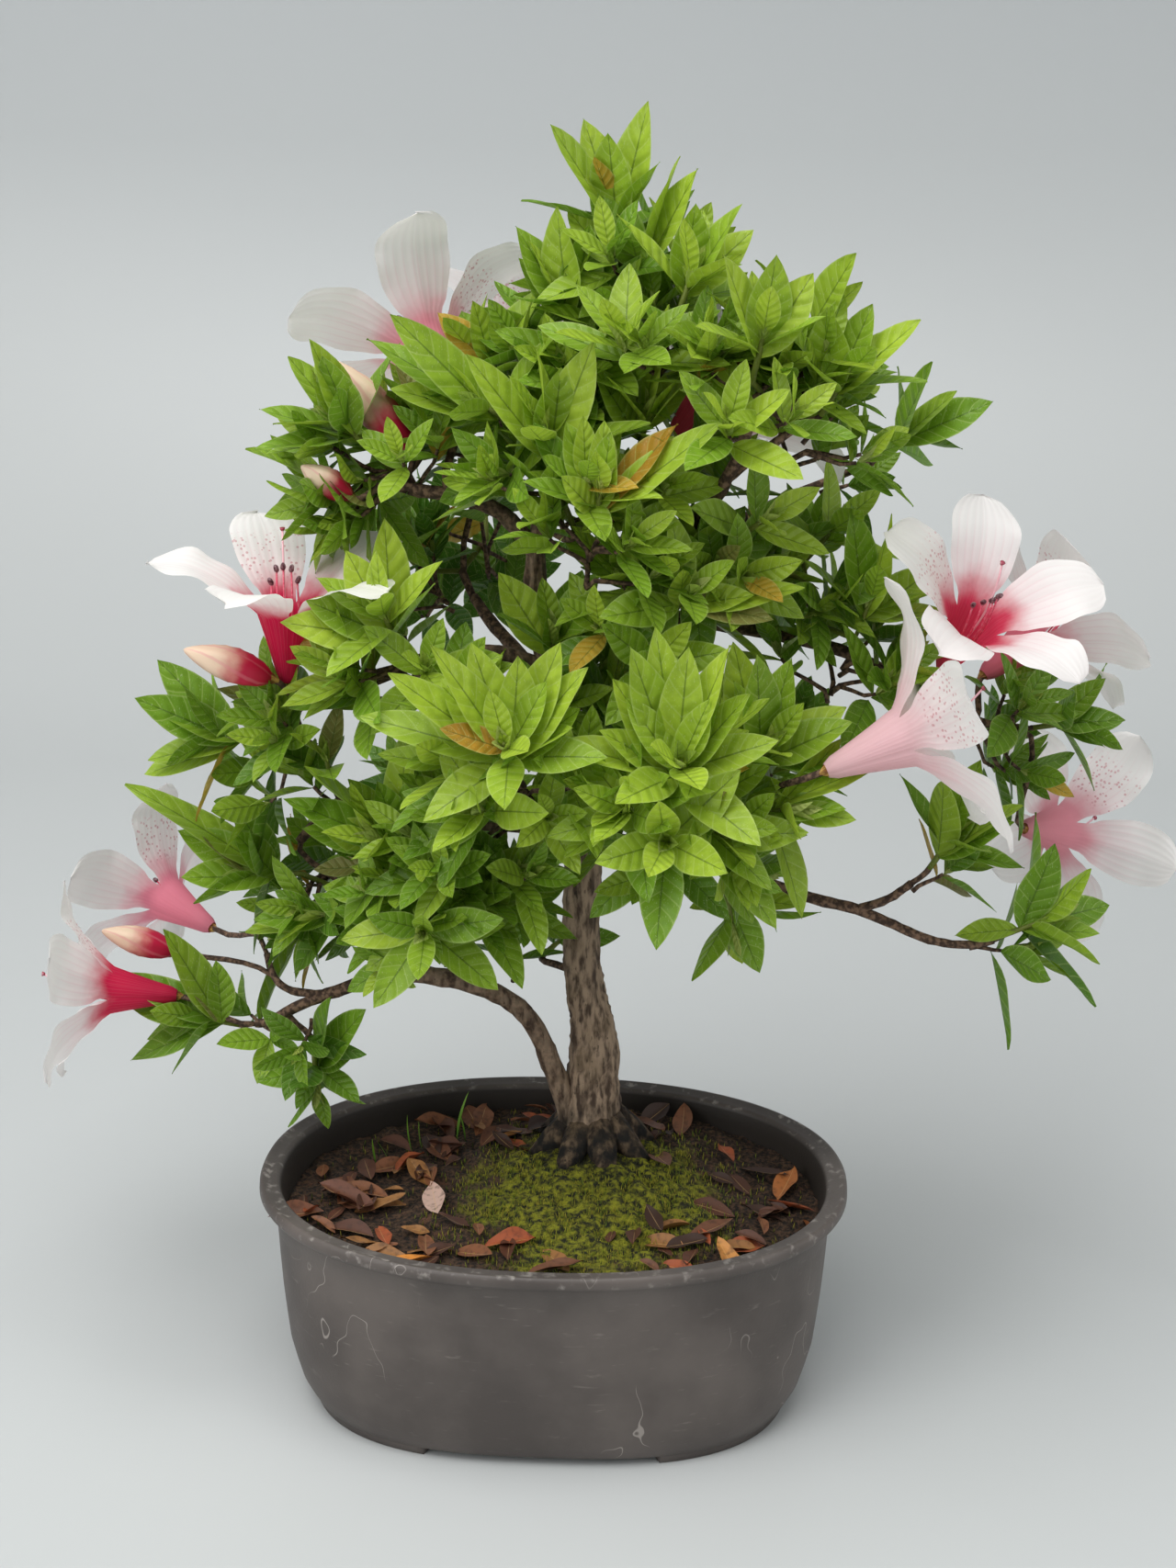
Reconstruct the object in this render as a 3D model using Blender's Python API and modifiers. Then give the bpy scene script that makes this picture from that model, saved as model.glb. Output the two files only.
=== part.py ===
"""A satsuki azalea bonsai in flower, standing in its oval training pot.

Metres, +Z up. The tree is set out from the front, the way a grower plans one. A place is (x, z, back):
x and z in millimetres on the upright plane through the middle of the pot, and how many millimetres
behind that plane the thing really stands, along the same line of sight from the viewer's eye.
"""

import math
import random

import bmesh
import bpy
from mathutils import Matrix, Vector
from mathutils.bvhtree import BVHTree

MM = 0.001
GAP = 0.0003
SEED = 7

# The viewer's eye, in front of the pot and above the crown.
EYE = Vector((0.045, -0.729, 0.463))

# The pot's rim outline, its height and how square its oval is (2 is an ellipse).
POT_LENGTH = 0.200
POT_DEPTH = 0.146
POT_HEIGHT = 0.075
POT_SQUARENESS = 2.2
BASE_SQUARENESS = 2.75
POT_SIDES = 32
# The pot's wall as (inset along its length, inset across it, height) from the rim's outer edge, in mm.
POT_INSIDE = ((23, 16, 8), (15.5, 11, 18), (11.5, 8.4, 40), (8.7, 7.4, 68), (6.8, 6.6, 73.8))
POT_OUTSIDE = (
    (0.7, 0.7, 75), (0, 0, 72), (5.2, 3.4, 70.4), (6.7, 4, 50), (8.6, 5.2, 30), (11.3, 6.8, 15.5),
    (14.8, 8.6, 6.8), (18.6, 11, 0),
)
POT_UNDER = ((27.5, 20, 0), (28, 20.5, 3.2))
FOOT_GAP_FRONT = 0.075
FOOT_GAP_SIDE = 0.040
FOOT_HEIGHT = 0.0031
DRAIN_RADIUS = 0.009
DRAIN_FROM_MIDDLE = 0.042

# The soil: its level at the wall, and the mossy mound round the trunk.
SOIL_LEVEL = 0.0625
MOUND_HEIGHT = 0.009
MOUND_SPREAD = 0.042
TRUNK_FOOT = (0.012, 0.030)

LEAF_THICK = 0.0007
LEAF_WIDTH_SHARE = 0.42
PETAL_THICK = 0.0007
GOLDEN_TURN = math.radians(137.5)

# Woody limbs as (x, z, back, radius in mm) along each one, the trunk first.
LIMBS = {
    "trunk": (
        (11.9, 67, 30, 12.8), (11.9, 86, 30, 12.6), (12.2, 96, 30, 10.6), (13, 109, 30, 8.9),
        (13.4, 121, 30, 8.3), (12.4, 132, 30, 7.0), (10.2, 143, 30, 6.3), (8.8, 158, 30, 6.1),
        (8.9, 178, 29, 6.0), (9.6, 196, 28, 6.3), (8.6, 212, 28, 5.1), (5, 232, 26, 4.5),
        (-1, 252, 24, 4.0), (-6, 274, 21, 3.5), (-6, 294, 20, 3.0), (-1, 314, 21, 2.6),
        (6, 334, 22, 2.2), (12, 354, 23, 1.9), (15, 370, 25, 1.7),
    ),
    "low_stem": (
        (8, 84, 28, 4.6), (3.5, 102, 26, 3.7), (-1, 115, 24, 3.3), (-6, 127, 22, 3.2),
        (-14, 137, 20, 3.2),
        (-28, 143.5, 18, 3.2), (-43, 146, 16, 3.2), (-55, 146, 14, 2.6), (-70, 140.5, 13, 2.1),
        (-85, 134, 12, 1.8), (-96, 127.5, 12, 1.5), (-101, 126.5, 11, 1.3),
    ),
    "low_stem_twig": ((-76, 138, 13, 1.5), (-88, 139, 14, 1.3), (-94, 144, 17, 1.2), (-96, 152, 24, 1.2)),
    "left_limb": (
        (7, 196, 28, 4.2), (-6, 200, 24, 3.8), (-20, 201, 18, 3.3), (-34, 199, 10, 2.7),
        (-44, 193, 3, 2.1),
    ),
    "left_back_limb": (
        (-17, 201, 20, 3.0), (-38, 207, 27, 2.5), (-58, 206, 31, 2.2), (-76, 200, 29, 1.9),
        (-84, 192, 26, 1.6),
    ),
    "left_middle_limb": (
        (0, 250, 24, 3.4), (-15, 257, 18, 2.9), (-31, 257, 12, 2.5), (-45, 254, 7, 2.2),
        (-62, 246, 8, 1.9),
        (-79, 240, 9, 1.6), (-90, 233, 12, 1.4),
    ),
    "left_upper_limb": (
        (-6, 290, 20, 3.0), (-17, 303, 18, 2.6), (-31, 308, 16, 2.3), (-45, 310, 18, 2.0),
        (-50, 312, 19, 1.7),
    ),
    "right_limb": (
        (6, 190, 25, 4.0), (13, 190.5, 19, 3.8), (23, 194, 16, 3.5), (36, 196.5, 13, 3.1),
        (48, 198, 8, 2.6),
        (56, 202, 0, 2.1), (58, 206, -4, 1.8),
    ),
    "right_long_limb": (
        (33, 195, 14, 2.5), (50, 190.5, 16, 2.4), (64, 184.5, 18, 2.2), (76, 179.5, 20, 2.0),
        (88, 176, 22, 1.9),
        (99, 173.5, 22, 1.8), (111, 168.5, 22, 1.6), (123, 163.5, 21, 1.5), (135, 162, 20, 1.4),
        (144, 164, 20, 1.3),
    ),
    "right_long_twig": ((99, 173.5, 22, 1.5), (109, 177.5, 20, 1.4), (116, 183, 18, 1.3)),
    "right_upper_limb": (
        (6, 224, 26, 4.0), (14, 243, 28, 3.6), (20, 261, 27, 3.2), (30, 280, 20, 2.9), (42, 298, 10, 2.5),
        (51, 312, 0, 2.2), (57, 325, -8, 1.8), (60, 337, -13, 1.5),
    ),
    "right_upper_twig": ((53, 315, -2, 1.5), (65, 325, -4, 1.3), (76, 333, -2, 1.2)),
    "right_far_twig": (
        (34, 286, 17, 1.8), (50, 298, 44, 1.6), (70, 309, 68, 1.4), (86, 316, 72, 1.2), (97, 321, 63, 1.1),
    ),
    "right_middle_limb": (
        (21, 264, 28, 2.8), (38, 270, 26, 2.5), (56, 268, 26, 2.3), (74, 265, 25, 2.1),
        (90, 261, 25, 1.9),
        (106, 254, 28, 1.7), (122, 245, 36, 1.5), (137, 238, 44, 1.3), (147, 237, 48, 1.2),
    ),
    "back_left_limb": ((3, 237, 26, 3.2), (-6, 251, 50, 2.6), (-19, 266, 72, 2.0), (-26, 276, 82, 1.6)),
    "back_right_limb": ((6, 229, 27, 3.1), (20, 245, 54, 2.5), (42, 266, 80, 2.0), (52, 282, 92, 1.6)),
    "back_low_left_limb": ((8, 199, 28, 3.4), (-8, 209, 58, 2.6), (-34, 213, 84, 1.8)),
    "back_low_right_limb": ((9, 203, 28, 3.4), (30, 212, 58, 2.5), (62, 223, 78, 1.8)),
}
# A cut-off branch on the right limb: the middle of its sawn face.
STUB = ((22.4, 193, 13, 3.2), (23.6, 189.5, 3, 3.1))

# Leafy shoots. Each spray is one forked shoot of whorls: (x, z, back, leaves, leaf length mm, heading).
SPRAYS = {
    "shoot_apex": (
        (18, 388, 30, 5, 33, (-0.15, 0.0, 1)), (25, 376, 40, 5, 32, (0.2, 0.35, 1)),
        (38, 369, 2, 5, 33, (0.3, -0.1, 1)),
    ),
    "shoot_crown_left": (
        (3, 362, 22, 5, 32, (-0.15, -0.2, 1)), (-22, 346, 36, 5, 30, (-0.35, 0.0, 1)),
        (-17, 333, 10, 4, 33, (-0.9, -0.35, 0.6)),
    ),
    "shoot_crown_front": ((-2, 321, -6, 5, 34, (-0.15, -0.3, 1)), (13, 304, -22, 5, 30, (0.15, -0.4, 1))),
    "shoot_crown_right": ((26, 326, 4, 5, 34, (0.25, -0.25, 1)),),
    "shoot_upper_right": ((61, 352, -16, 5, 30, (0.2, -0.25, 1)), (76, 358, 14, 4, 30, (0.35, 0.25, 1))),
    "shoot_outer_right": ((84, 341, -2, 6, 30, (0.5, -0.15, 0.9)),),
    "shoot_far_right": ((103, 326, 57, 4, 29, (0.8, 0.0, 0.55)),),
    "shoot_upper_left": (
        (-62, 326, 16, 6, 32, (-0.75, -0.25, 0.7)), (-68, 312, 34, 4, 30, (-0.7, 0.3, -0.2)),
    ),
    "shoot_left_front": ((-52, 264, -12, 6, 33, (-0.3, -0.45, 0.9)),),
    "shoot_centre": ((-1, 256, 4, 5, 34, (0.05, -0.35, 1)),),
    "shoot_front_left": ((-14, 222, -42, 8, 34, (-0.15, -0.75, 0.7)),),
    "shoot_front_right": ((39, 217, -42, 8, 38, (0.12, -0.75, 0.75)),),
    "shoot_front_low": ((27, 203, -14, 4, 31, (-0.25, -0.8, 0.6)),),
    "shoot_low_left": (
        (-27, 202, -22, 4, 29, (0.0, -0.5, 0.8)), (-51, 191, -10, 6, 34, (-0.6, -0.5, 0.5)),
    ),
    "shoot_low_hanging": (
        (-32, 174, -14, 5, 32, (0.15, -0.6, 0.7)), (-42, 163, -30, 5, 30, (-0.05, -0.95, 0.2)),
    ),
    "shoot_left_back": (
        (-93, 181, 20, 5, 33, (-0.9, -0.25, 0.1)), (-72, 167, 4, 4, 28, (-0.75, -0.5, 0.15)),
    ),
    "shoot_left_side": ((-103, 227, 15, 6, 32, (-0.95, -0.15, 0.1)),),
    "shoot_left_bright": ((-73, 216, -2, 4, 27, (-0.15, -0.4, 1)),),
    "shoot_right_middle": (
        (39, 275, -14, 5, 33, (0.35, -0.6, 0.6)), (60, 299, 2, 5, 30, (0.5, -0.5, 0.5)),
    ),
    "shoot_right_low": (
        (65, 223, -20, 5, 32, (0.35, -0.5, 0.8)), (69, 207, -26, 4, 34, (0.75, -0.5, 0.2)),
    ),
    "shoot_right_side": (
        (96, 270, 12, 5, 32, (0.3, -0.15, 0.9)), (82, 295, 24, 5, 30, (0.45, -0.15, 0.6)),
    ),
    "shoot_right_back": ((158, 238, 52, 5, 31, (0.9, 0.0, 0.15)),),
    "shoot_right_twig": ((125, 194, 14, 5, 31, (0.5, -0.15, 0.9)),),
    "shoot_right_tip": ((152, 168, 19, 5, 42, (0.9, -0.1, 0.45)),),
    "shoot_right_hanging": ((57, 174, 12, 3, 33, (0.2, -0.2, -1)),),
    "shoot_low_tip": ((-81, 112, 10, 5, 27, (0.1, -0.35, -1)),),
    "shoot_low_left_tip": ((-113, 127, 10, 6, 32, (-0.9, -0.2, 0.25)),),
    "shoot_behind_trunk": ((0, 158, 64, 4, 28, (0.4, 0.8, 0.1)),),
    "shoot_back_upper": ((-2, 338, 78, 4, 32, (-0.2, 0.6, 0.8)), (34, 345, 84, 4, 32, (0.3, 0.6, 0.8))),
    "shoot_back_left": (
        (-46, 288, 96, 4, 32, (-0.6, 0.6, 0.5)), (-22, 300, 112, 4, 32, (-0.1, 0.9, 0.5)),
    ),
    "shoot_back_right": ((58, 286, 104, 4, 32, (0.5, 0.7, 0.5)),),
    "shoot_back_low_left": ((-46, 212, 96, 4, 32, (-0.6, 0.7, 0.2)),),
    "shoot_back_low_right": ((74, 226, 88, 4, 32, (0.6, 0.7, 0.3)),),
}

# Blooms: (x, z, back) where the flower stalk ends, heading, roll and flare in degrees, size.
BLOOMS = {
    "upper_left": ((-30, 338, 35), (-0.49, 0.63, 0.59), 58, 57, 1.03),
    "upper_left_back": ((-16, 335, 96), (0.2, 0.45, 0.88), 20, 50, 0.95),
    "upper_right": ((31, 319, 36), (0.62, 0.45, 0.6), 5, 57, 1.08),
    "left": ((-86, 247, 5), (0.02, -0.11, 0.99), 11, 51, 1.0),
    "right": ((122, 256, 22), (0.33, -0.53, 0.78), 49, 49, 0.97),
    "right_back": ((135, 254, 50), (0.75, 0.4, 0.5), 30, 55, 0.95),
    "right_front": ((87, 221, -32), (0.91, 0.19, 0.37), 62, 57, 1.08),
    "far_right": ((151, 203, 65), (0.61, 0.72, -0.25), 24, 55, 0.96),
    "far_left": ((-114, 161, 66), (-0.83, 0.48, 0.29), 4, 60, 0.95),
    "low_left": ((-127, 136, 8), (-0.97, -0.1, 0.1), 20, 48, 0.9),
}

# Flower buds: (x, z, back) of the base and of the tip, and the radius in mm.
BUDS = {
    "upper_left": ((-43, 321, 26), (-71, 351, 22), 6.2),
    "upper_left_low": ((-64, 307, 12), (-80, 317, 8), 4.6),
    "left": ((-91, 247.5, -2), (-120, 257, -8), 5.6),
    "low_left": ((-127, 152, 22), (-152, 159, 18), 5.0),
}


def seen(x, z, back):
    """The point that hides the middle plane's (x, z) from the eye, that many millimetres behind the plane."""
    on_plane = Vector((x, 0, z)) * MM
    return EYE + (on_plane - EYE) * (1 - back * MM / EYE.y)


def seen_size(length, back):
    """A length in mm measured on the middle plane, as it is that far behind it."""
    return length * MM * (1 - back * MM / EYE.y)


def material(name, hex_colour, roughness):
    """A Principled material of one sRGB colour."""
    made = bpy.data.materials.new(name)
    made.use_nodes = True
    shader = made.node_tree.nodes["Principled BSDF"]
    channels = [int(hex_colour[i:i + 2], 16) / 255 for i in (0, 2, 4)]
    linear = [c / 12.92 if c <= 0.04045 else ((c + 0.055) / 1.055) ** 2.4 for c in channels]
    shader.inputs["Base Color"].default_value = (*linear, 1)
    shader.inputs["Roughness"].default_value = roughness
    shader.inputs["Metallic"].default_value = 0
    return made


def add_part(name, mesh, finish):
    """A named node of the bonsai, standing under the empty that places it."""
    node = bpy.data.objects.new(name, mesh)
    node.data.materials.clear()
    node.data.materials.append(finish)
    node.parent = bonsai
    parts.objects.link(node)
    return node


def evaluated(holder):
    """The object's mesh with its modifiers applied. The object is removed."""
    graph = bpy.context.evaluated_depsgraph_get()
    mesh = bpy.data.meshes.new_from_object(holder.evaluated_get(graph))
    bpy.data.objects.remove(holder)
    return mesh


def tube(route, steps=1):
    """A closed tube along (point, radius) pairs: a bevelled curve with its caps welded on."""
    curve = bpy.data.curves.new("tube", "CURVE")
    curve.dimensions = "3D"
    curve.bevel_depth = 1
    curve.bevel_resolution = steps
    curve.use_fill_caps = True
    spline = curve.splines.new("POLY")
    spline.points.add(len(route) - 1)
    for spot, (place, radius) in zip(spline.points, route):
        spot.co = (*place, 1)
        spot.radius = radius
    holder = bpy.data.objects.new("tube", curve)
    bpy.context.scene.collection.objects.link(holder)
    mesh = evaluated(holder)
    work = bmesh.new()
    work.from_mesh(mesh)
    bmesh.ops.remove_doubles(work, verts=work.verts, dist=1e-6)
    bmesh.ops.triangulate(work, faces=work.faces)
    work.to_mesh(mesh)
    work.free()
    return mesh


def biggest_shell(mesh):
    """Keeps the largest closed shell, so a hollow that the joining sealed is filled and a scrap is dropped."""
    work = bmesh.new()
    work.from_mesh(mesh)
    bmesh.ops.remove_doubles(work, verts=work.verts, dist=2e-6)
    bmesh.ops.triangulate(work, faces=work.faces)
    left = set(work.faces)
    shells = []
    while left:
        shell = {left.pop()}
        rim = list(shell)
        while rim:
            rim = [f for g in rim for e in g.edges if len(e.link_faces) == 2 for f in e.link_faces if f in left]
            left.difference_update(rim)
            shell.update(rim)
        shells.append(shell)
    keep = max(shells, key=len)
    bmesh.ops.delete(work, geom=[f for f in work.faces if f not in keep], context="FACES")
    work.to_mesh(mesh)
    work.free()
    return mesh


def joined(first, others, solver="EXACT"):
    """One closed body from overlapping closed meshes, by a Boolean union on a collection."""
    if not others:
        return first
    pile = bpy.data.collections.new("joined")
    bpy.context.scene.collection.children.link(pile)
    for mesh in others:
        pile.objects.link(bpy.data.objects.new("piece", mesh))
    holder = bpy.data.objects.new("whole", first)
    bpy.context.scene.collection.objects.link(holder)
    union = holder.modifiers.new("join", "BOOLEAN")
    union.operation = "UNION"
    union.operand_type = "COLLECTION"
    union.collection = pile
    union.solver = solver
    mesh = evaluated(holder)
    for piece in list(pile.objects):
        bpy.data.objects.remove(piece)
    bpy.data.collections.remove(pile)
    return biggest_shell(mesh)


def tree_of(mesh):
    """A search tree over a mesh's faces, for finding what crosses it."""
    return BVHTree.FromPolygons([v.co for v in mesh.vertices], [p.vertices for p in mesh.polygons])


def oval(inset, inset_across, height):
    """One ring of the pot: its outline that far in from the rim's outer edge, at that height (mm)."""
    power = 2 / (BASE_SQUARENESS + (POT_SQUARENESS - BASE_SQUARENESS) * height * MM / POT_HEIGHT)
    ring = []
    for i in range(POT_SIDES):
        turn = 2 * math.pi * i / POT_SIDES
        across = math.copysign(abs(math.cos(turn)) ** power, math.cos(turn))
        along = math.copysign(abs(math.sin(turn)) ** power, math.sin(turn))
        x = (POT_LENGTH / 2 - inset * MM) * across
        y = (POT_DEPTH / 2 - inset_across * MM) * along
        ring.append(Vector((x, y, height * MM)))
    return ring


def lofted(rings, name):
    """A closed body through rings of equal count, flat at both ends, facing out."""
    work = bmesh.new()
    rows = [[work.verts.new(place) for place in ring] for ring in rings]
    for low, high in zip(rows, rows[1:]):
        for i, vert in enumerate(low):
            j = (i + 1) % len(low)
            work.faces.new((vert, low[j], high[j], high[i]))
    work.faces.new(rows[0])
    work.faces.new(rows[-1])
    bmesh.ops.recalc_face_normals(work, faces=work.faces)
    mesh = bpy.data.meshes.new(name)
    work.to_mesh(mesh)
    work.free()
    return mesh


def cutter(name, mesh, target):
    """Cuts a mesh away from the target. The cutter stays in the scene, hidden."""
    tool = bpy.data.objects.new(name, mesh)
    tool.hide_render = True
    tool.display_type = "WIRE"
    tool.parent = bonsai
    cutters.objects.link(tool)
    cut = target.modifiers.new(name, "BOOLEAN")
    cut.operation = "DIFFERENCE"
    cut.object = tool


def block(size):
    """A box mesh of that size, centred on the origin."""
    work = bmesh.new()
    bmesh.ops.create_cube(work, size=1, matrix=Matrix.Diagonal((*size, 1)))
    mesh = bpy.data.meshes.new("block")
    work.to_mesh(mesh)
    work.free()
    return mesh


def make_pot():
    """The moulded pot: wall and rolled lip, four low feet, and two drain holes in its floor."""
    rings = [oval(*spot) for spot in POT_INSIDE + POT_OUTSIDE + POT_UNDER]
    pot = add_part("pot", lofted(rings, "pot"), material("moulded_plastic", "6c635e", 0.6))
    deep = 2 * FOOT_HEIGHT
    cutter("front_foot_gap", block((FOOT_GAP_FRONT, POT_DEPTH, deep)), pot)
    cutter("side_foot_gap", block((POT_LENGTH, FOOT_GAP_SIDE, deep)), pot)
    for side in (-1, 1):
        work = bmesh.new()
        place = Matrix.Translation((side * DRAIN_FROM_MIDDLE, 0, 0))
        bmesh.ops.create_cone(work, cap_ends=True, segments=12, radius1=DRAIN_RADIUS, radius2=DRAIN_RADIUS,
                              depth=0.030, matrix=place)
        mesh = bpy.data.meshes.new("drain")
        work.to_mesh(mesh)
        work.free()
        cutter("drain_hole_left" if side < 0 else "drain_hole_right", mesh, pot)


def soil_top(x, y):
    """The soil's height there: level at the wall, mounded with moss round the trunk, a little uneven."""
    away = math.hypot(x - TRUNK_FOOT[0], y - TRUNK_FOOT[1]) / MOUND_SPREAD
    uneven = 0.0006 * math.sin(x * 210 + 1) * math.cos(y * 260) + 0.0004 * math.sin(x * 470 + y * 390)
    return SOIL_LEVEL + MOUND_HEIGHT * math.exp(-away * away) + uneven


def wall_insets(height):
    """How far in the pot's inner wall is at that height, along and across the pot (mm)."""
    low, high = [pair for pair in zip(POT_INSIDE, POT_INSIDE[1:]) if pair[0][2] < height][-1]
    share = (height - low[2]) / (high[2] - low[2])
    return low[0] + (high[0] - low[0]) * share, low[1] + (high[1] - low[1]) * share


def make_soil():
    """The root ball that fills the pot, with a plain hole where the trunk stands in it."""
    gap = GAP / MM
    rings = []
    for along, across, height in POT_INSIDE[:3]:
        rings.append(oval(along + gap, across + gap, max(height, POT_INSIDE[0][2] + gap)))
    along, across = wall_insets(SOIL_LEVEL / MM)
    edge = oval(along + gap, across + gap, SOIL_LEVEL / MM)
    for share in (1, 0.78, 0.52, 0.26):
        ring = []
        for place in edge:
            x = TRUNK_FOOT[0] * (1 - share) + place.x * share
            y = TRUNK_FOOT[1] * (1 - share) + place.y * share
            ring.append(Vector((x, y, soil_top(x, y))))
        rings.append(ring)
    soil = add_part("soil", lofted(rings, "soil"), material("mossy_soil", "3a3420", 0.95))
    foot = [(seen(x, z, back), seen_size(radius, back) + GAP * 1.5) for x, z, back, radius in LIMBS["trunk"][:2]]
    foot[0] = (foot[0][0] - Vector((0, 0, GAP)), foot[0][1])
    way = foot[1][0] - foot[0][0]
    cutter("trunk_hole", tube([foot[0], (foot[1][0] + way, foot[1][1])], 3), soil)


def smooth_route(spots, steps):
    """A smooth curve of (place, radius) through a limb's own spots."""
    route = [(seen(x, z, back), seen_size(radius, back)) for x, z, back, radius in spots]
    ends = [route[0]] + route + [route[-1]]
    found = []
    for (a, ra), (b, rb), (c, rc), (d, rd) in zip(ends, ends[1:], ends[2:], ends[3:]):
        for i in range(steps):
            t = i / steps
            place = 0.5 * (2 * b + (c - a) * t + (2 * a - 5 * b + 4 * c - d) * t ** 2 + (3 * b - 3 * c + d - a) * t ** 3)
            found.append((place, rb + (rc - rb) * t))
    found.append(route[-1])
    return found


def nearest_on_limbs(place):
    """The nearest spot on any limb above the low fork, with its radius and the limb's direction there."""
    best = None
    for route in limb_routes:
        for (a, ra), (b, rb) in zip(route, route[1:]):
            way = b - a
            t = min(1, max(0, (place - a).dot(way) / way.dot(way)))
            spot = a + way * t
            # A twig leaves forwards along its limb, so what lies behind the spot counts as further off.
            lean = (place - spot).normalized().dot(way.normalized()) if place != spot else 1
            far = (place - spot).length * (1.35 - 0.35 * lean)
            if best is None or far < best[0]:
                best = (far, spot, ra + (rb - ra) * t, way.normalized())
    return best[1:]


def twig(end, heading, radius=1.05 * MM):
    """A woody twig from the nearest limb, arriving at its end along the heading."""
    start, thick, way = nearest_on_limbs(end)
    span = (end - start).length
    first = start + way * span * 0.35
    last = end - heading * span * 0.35
    base = min(thick * 0.7, max(radius * 1.3, 0.0016))
    route = []
    for t in (0, 0.5) if span > 12 * MM else (0,):
        place = start * (1 - t) ** 3 + first * 3 * t * (1 - t) ** 2 + last * 3 * t * t * (1 - t) + end * t ** 3
        route.append((place, base + (radius - base) * t))
    # The last stretch is straight, so that its end face is square to the heading.
    route.append((end - heading * min(span * 0.2, 0.003), radius))
    route.append((end, radius))
    return prism(route)


def make_wood():
    """Trunk, limbs, sawn stub and all woody twigs, grown together as one body."""
    pieces = [tube(route, 3 if i == 0 else int(route[0][1] > 2.9 * MM)) for i, route in enumerate(limb_routes)]
    pieces.append(tube([(seen(x, z, back), seen_size(radius, back)) for x, z, back, radius in STUB], 1))
    for end, heading in twig_ends:
        pieces.append(twig(end, heading))
    wood = joined(pieces[0], pieces[1:], "MANIFOLD")
    return add_part("trunk", wood, material("azalea_bark", "6b5443", 0.9))


def side_axes(heading, roll):
    """Two axes square to the heading: the first as near straight up as it can be, turned by the roll."""
    up = Vector((0, 0, 1)) if abs(heading.z) < 0.999 else Vector((0, 1, 0))
    first = (up - heading * up.dot(heading)).normalized()
    second = heading.cross(first)
    return (first * math.cos(roll) + second * math.sin(roll), second * math.cos(roll) - first * math.sin(roll))


def corolla(base, heading, roll, flare, size):
    """A funnel of five joined petals: a tube that widens to its mouth, then five flaring lobes."""
    tube_rows = ((3.3, 3), (9, 24))
    lobe_rows = ((12, 10.8), (26, 12.2), (34.5, 7.2))
    lobe_length = 37.5
    up, side = side_axes(heading, roll)
    work = bmesh.new()

    def spot(radius, along, turn):
        place = base + heading * along * MM * size
        return work.verts.new(place + (up * math.cos(turn) + side * math.sin(turn)) * radius * MM * size)

    step = math.pi / 5
    rows = [[spot(radius, along, k * step) for k in range(10)] for radius, along in tube_rows]
    point = work.verts.new(base)
    for k in range(10):
        work.faces.new((point, rows[0][k], rows[0][(k + 1) % 10]))
    for low, high in zip(rows, rows[1:]):
        for k in range(10):
            work.faces.new((low[k], low[(k + 1) % 10], high[(k + 1) % 10], high[k]))
    for lobe in range(5):
        middle = 2 * lobe
        turn = middle * step
        before = [rows[-1][(middle + shift) % 10] for shift in (-1, 0, 1)]
        out = up * math.cos(turn) + side * math.sin(turn)
        across = side * math.cos(turn) - up * math.sin(turn)
        tilt = math.radians(flare)
        mouth = base + (heading * tube_rows[-1][1] + out * tube_rows[-1][0]) * MM * size

        def on_lobe(reach, half):
            # The lobe leaves the mouth at a shallow lean and bends out to its full flare.
            bent = tilt * (0.72 + 0.42 * reach / lobe_length)
            place = mouth + (heading * math.cos(bent) + out * math.sin(bent)) * reach * MM * size
            dish = (out * math.cos(bent) - heading * math.sin(bent)) * -0.11 * abs(half) * MM * size
            return work.verts.new(place + across * half * MM * size + dish)

        for reach, half in lobe_rows:
            row = [on_lobe(reach, -half), on_lobe(reach, 0), on_lobe(reach, half)]
            for k in (0, 1):
                work.faces.new((before[k], before[k + 1], row[k + 1], row[k]))
            before = row
        tip = on_lobe(lobe_length, 0)
        for k in (0, 1):
            work.faces.new((before[k], before[k + 1], tip))
    bmesh.ops.triangulate(work, faces=work.faces)
    bmesh.ops.recalc_face_normals(work, faces=work.faces)
    mesh = bpy.data.meshes.new("corolla")
    work.to_mesh(mesh)
    work.free()
    holder = bpy.data.objects.new("corolla", mesh)
    bpy.context.scene.collection.objects.link(holder)
    shell = holder.modifiers.new("thickness", "SOLIDIFY")
    shell.thickness = PETAL_THICK
    shell.offset = 0
    return evaluated(holder)


def stamens(base, heading, roll, size, rng):
    """Five upturned stamens and the longer style, on the ovary at the bottom of the flower."""
    up, side = side_axes(heading, 0)
    unit = MM * size
    ovary = tube([(base + heading * 2.5 * unit, 1.5 * MM), (base + heading * 6.5 * unit, 2.3 * MM)], 0)
    pieces = []
    for k in range(5):
        spread = (k - 2) * 0.5 + rng.uniform(-0.05, 0.05)
        reach = 35 + 2.2 * (2 - abs(k - 2)) + rng.uniform(-2, 3)
        out = side * math.sin(spread) - up * math.cos(spread)
        route = []
        for share, radius in ((0.13, 0.36), (0.55, 0.42), (0.93, 0.9), (1.0, 0.45)):
            bow = 0.6 + 4.4 * math.sin(math.pi * 0.62 * share)
            rise = 5.0 * share ** 3
            place = base + (heading * share * reach + out * bow + up * rise) * unit
            route.append((place, radius * MM))
        pieces.append(prism(route))
    style = []
    for share, radius in ((0.10, 0.5), (0.5, 0.45), (0.96, 0.42), (1.0, 0.9)):
        lift = 0.9 - 3.0 * math.sin(math.pi * 0.7 * share) + 6 * share ** 4
        place = base + (heading * share * 50 + up * lift) * unit
        style.append((place, radius * MM))
    pieces.append(prism(style))
    return joined(ovary, pieces)


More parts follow.
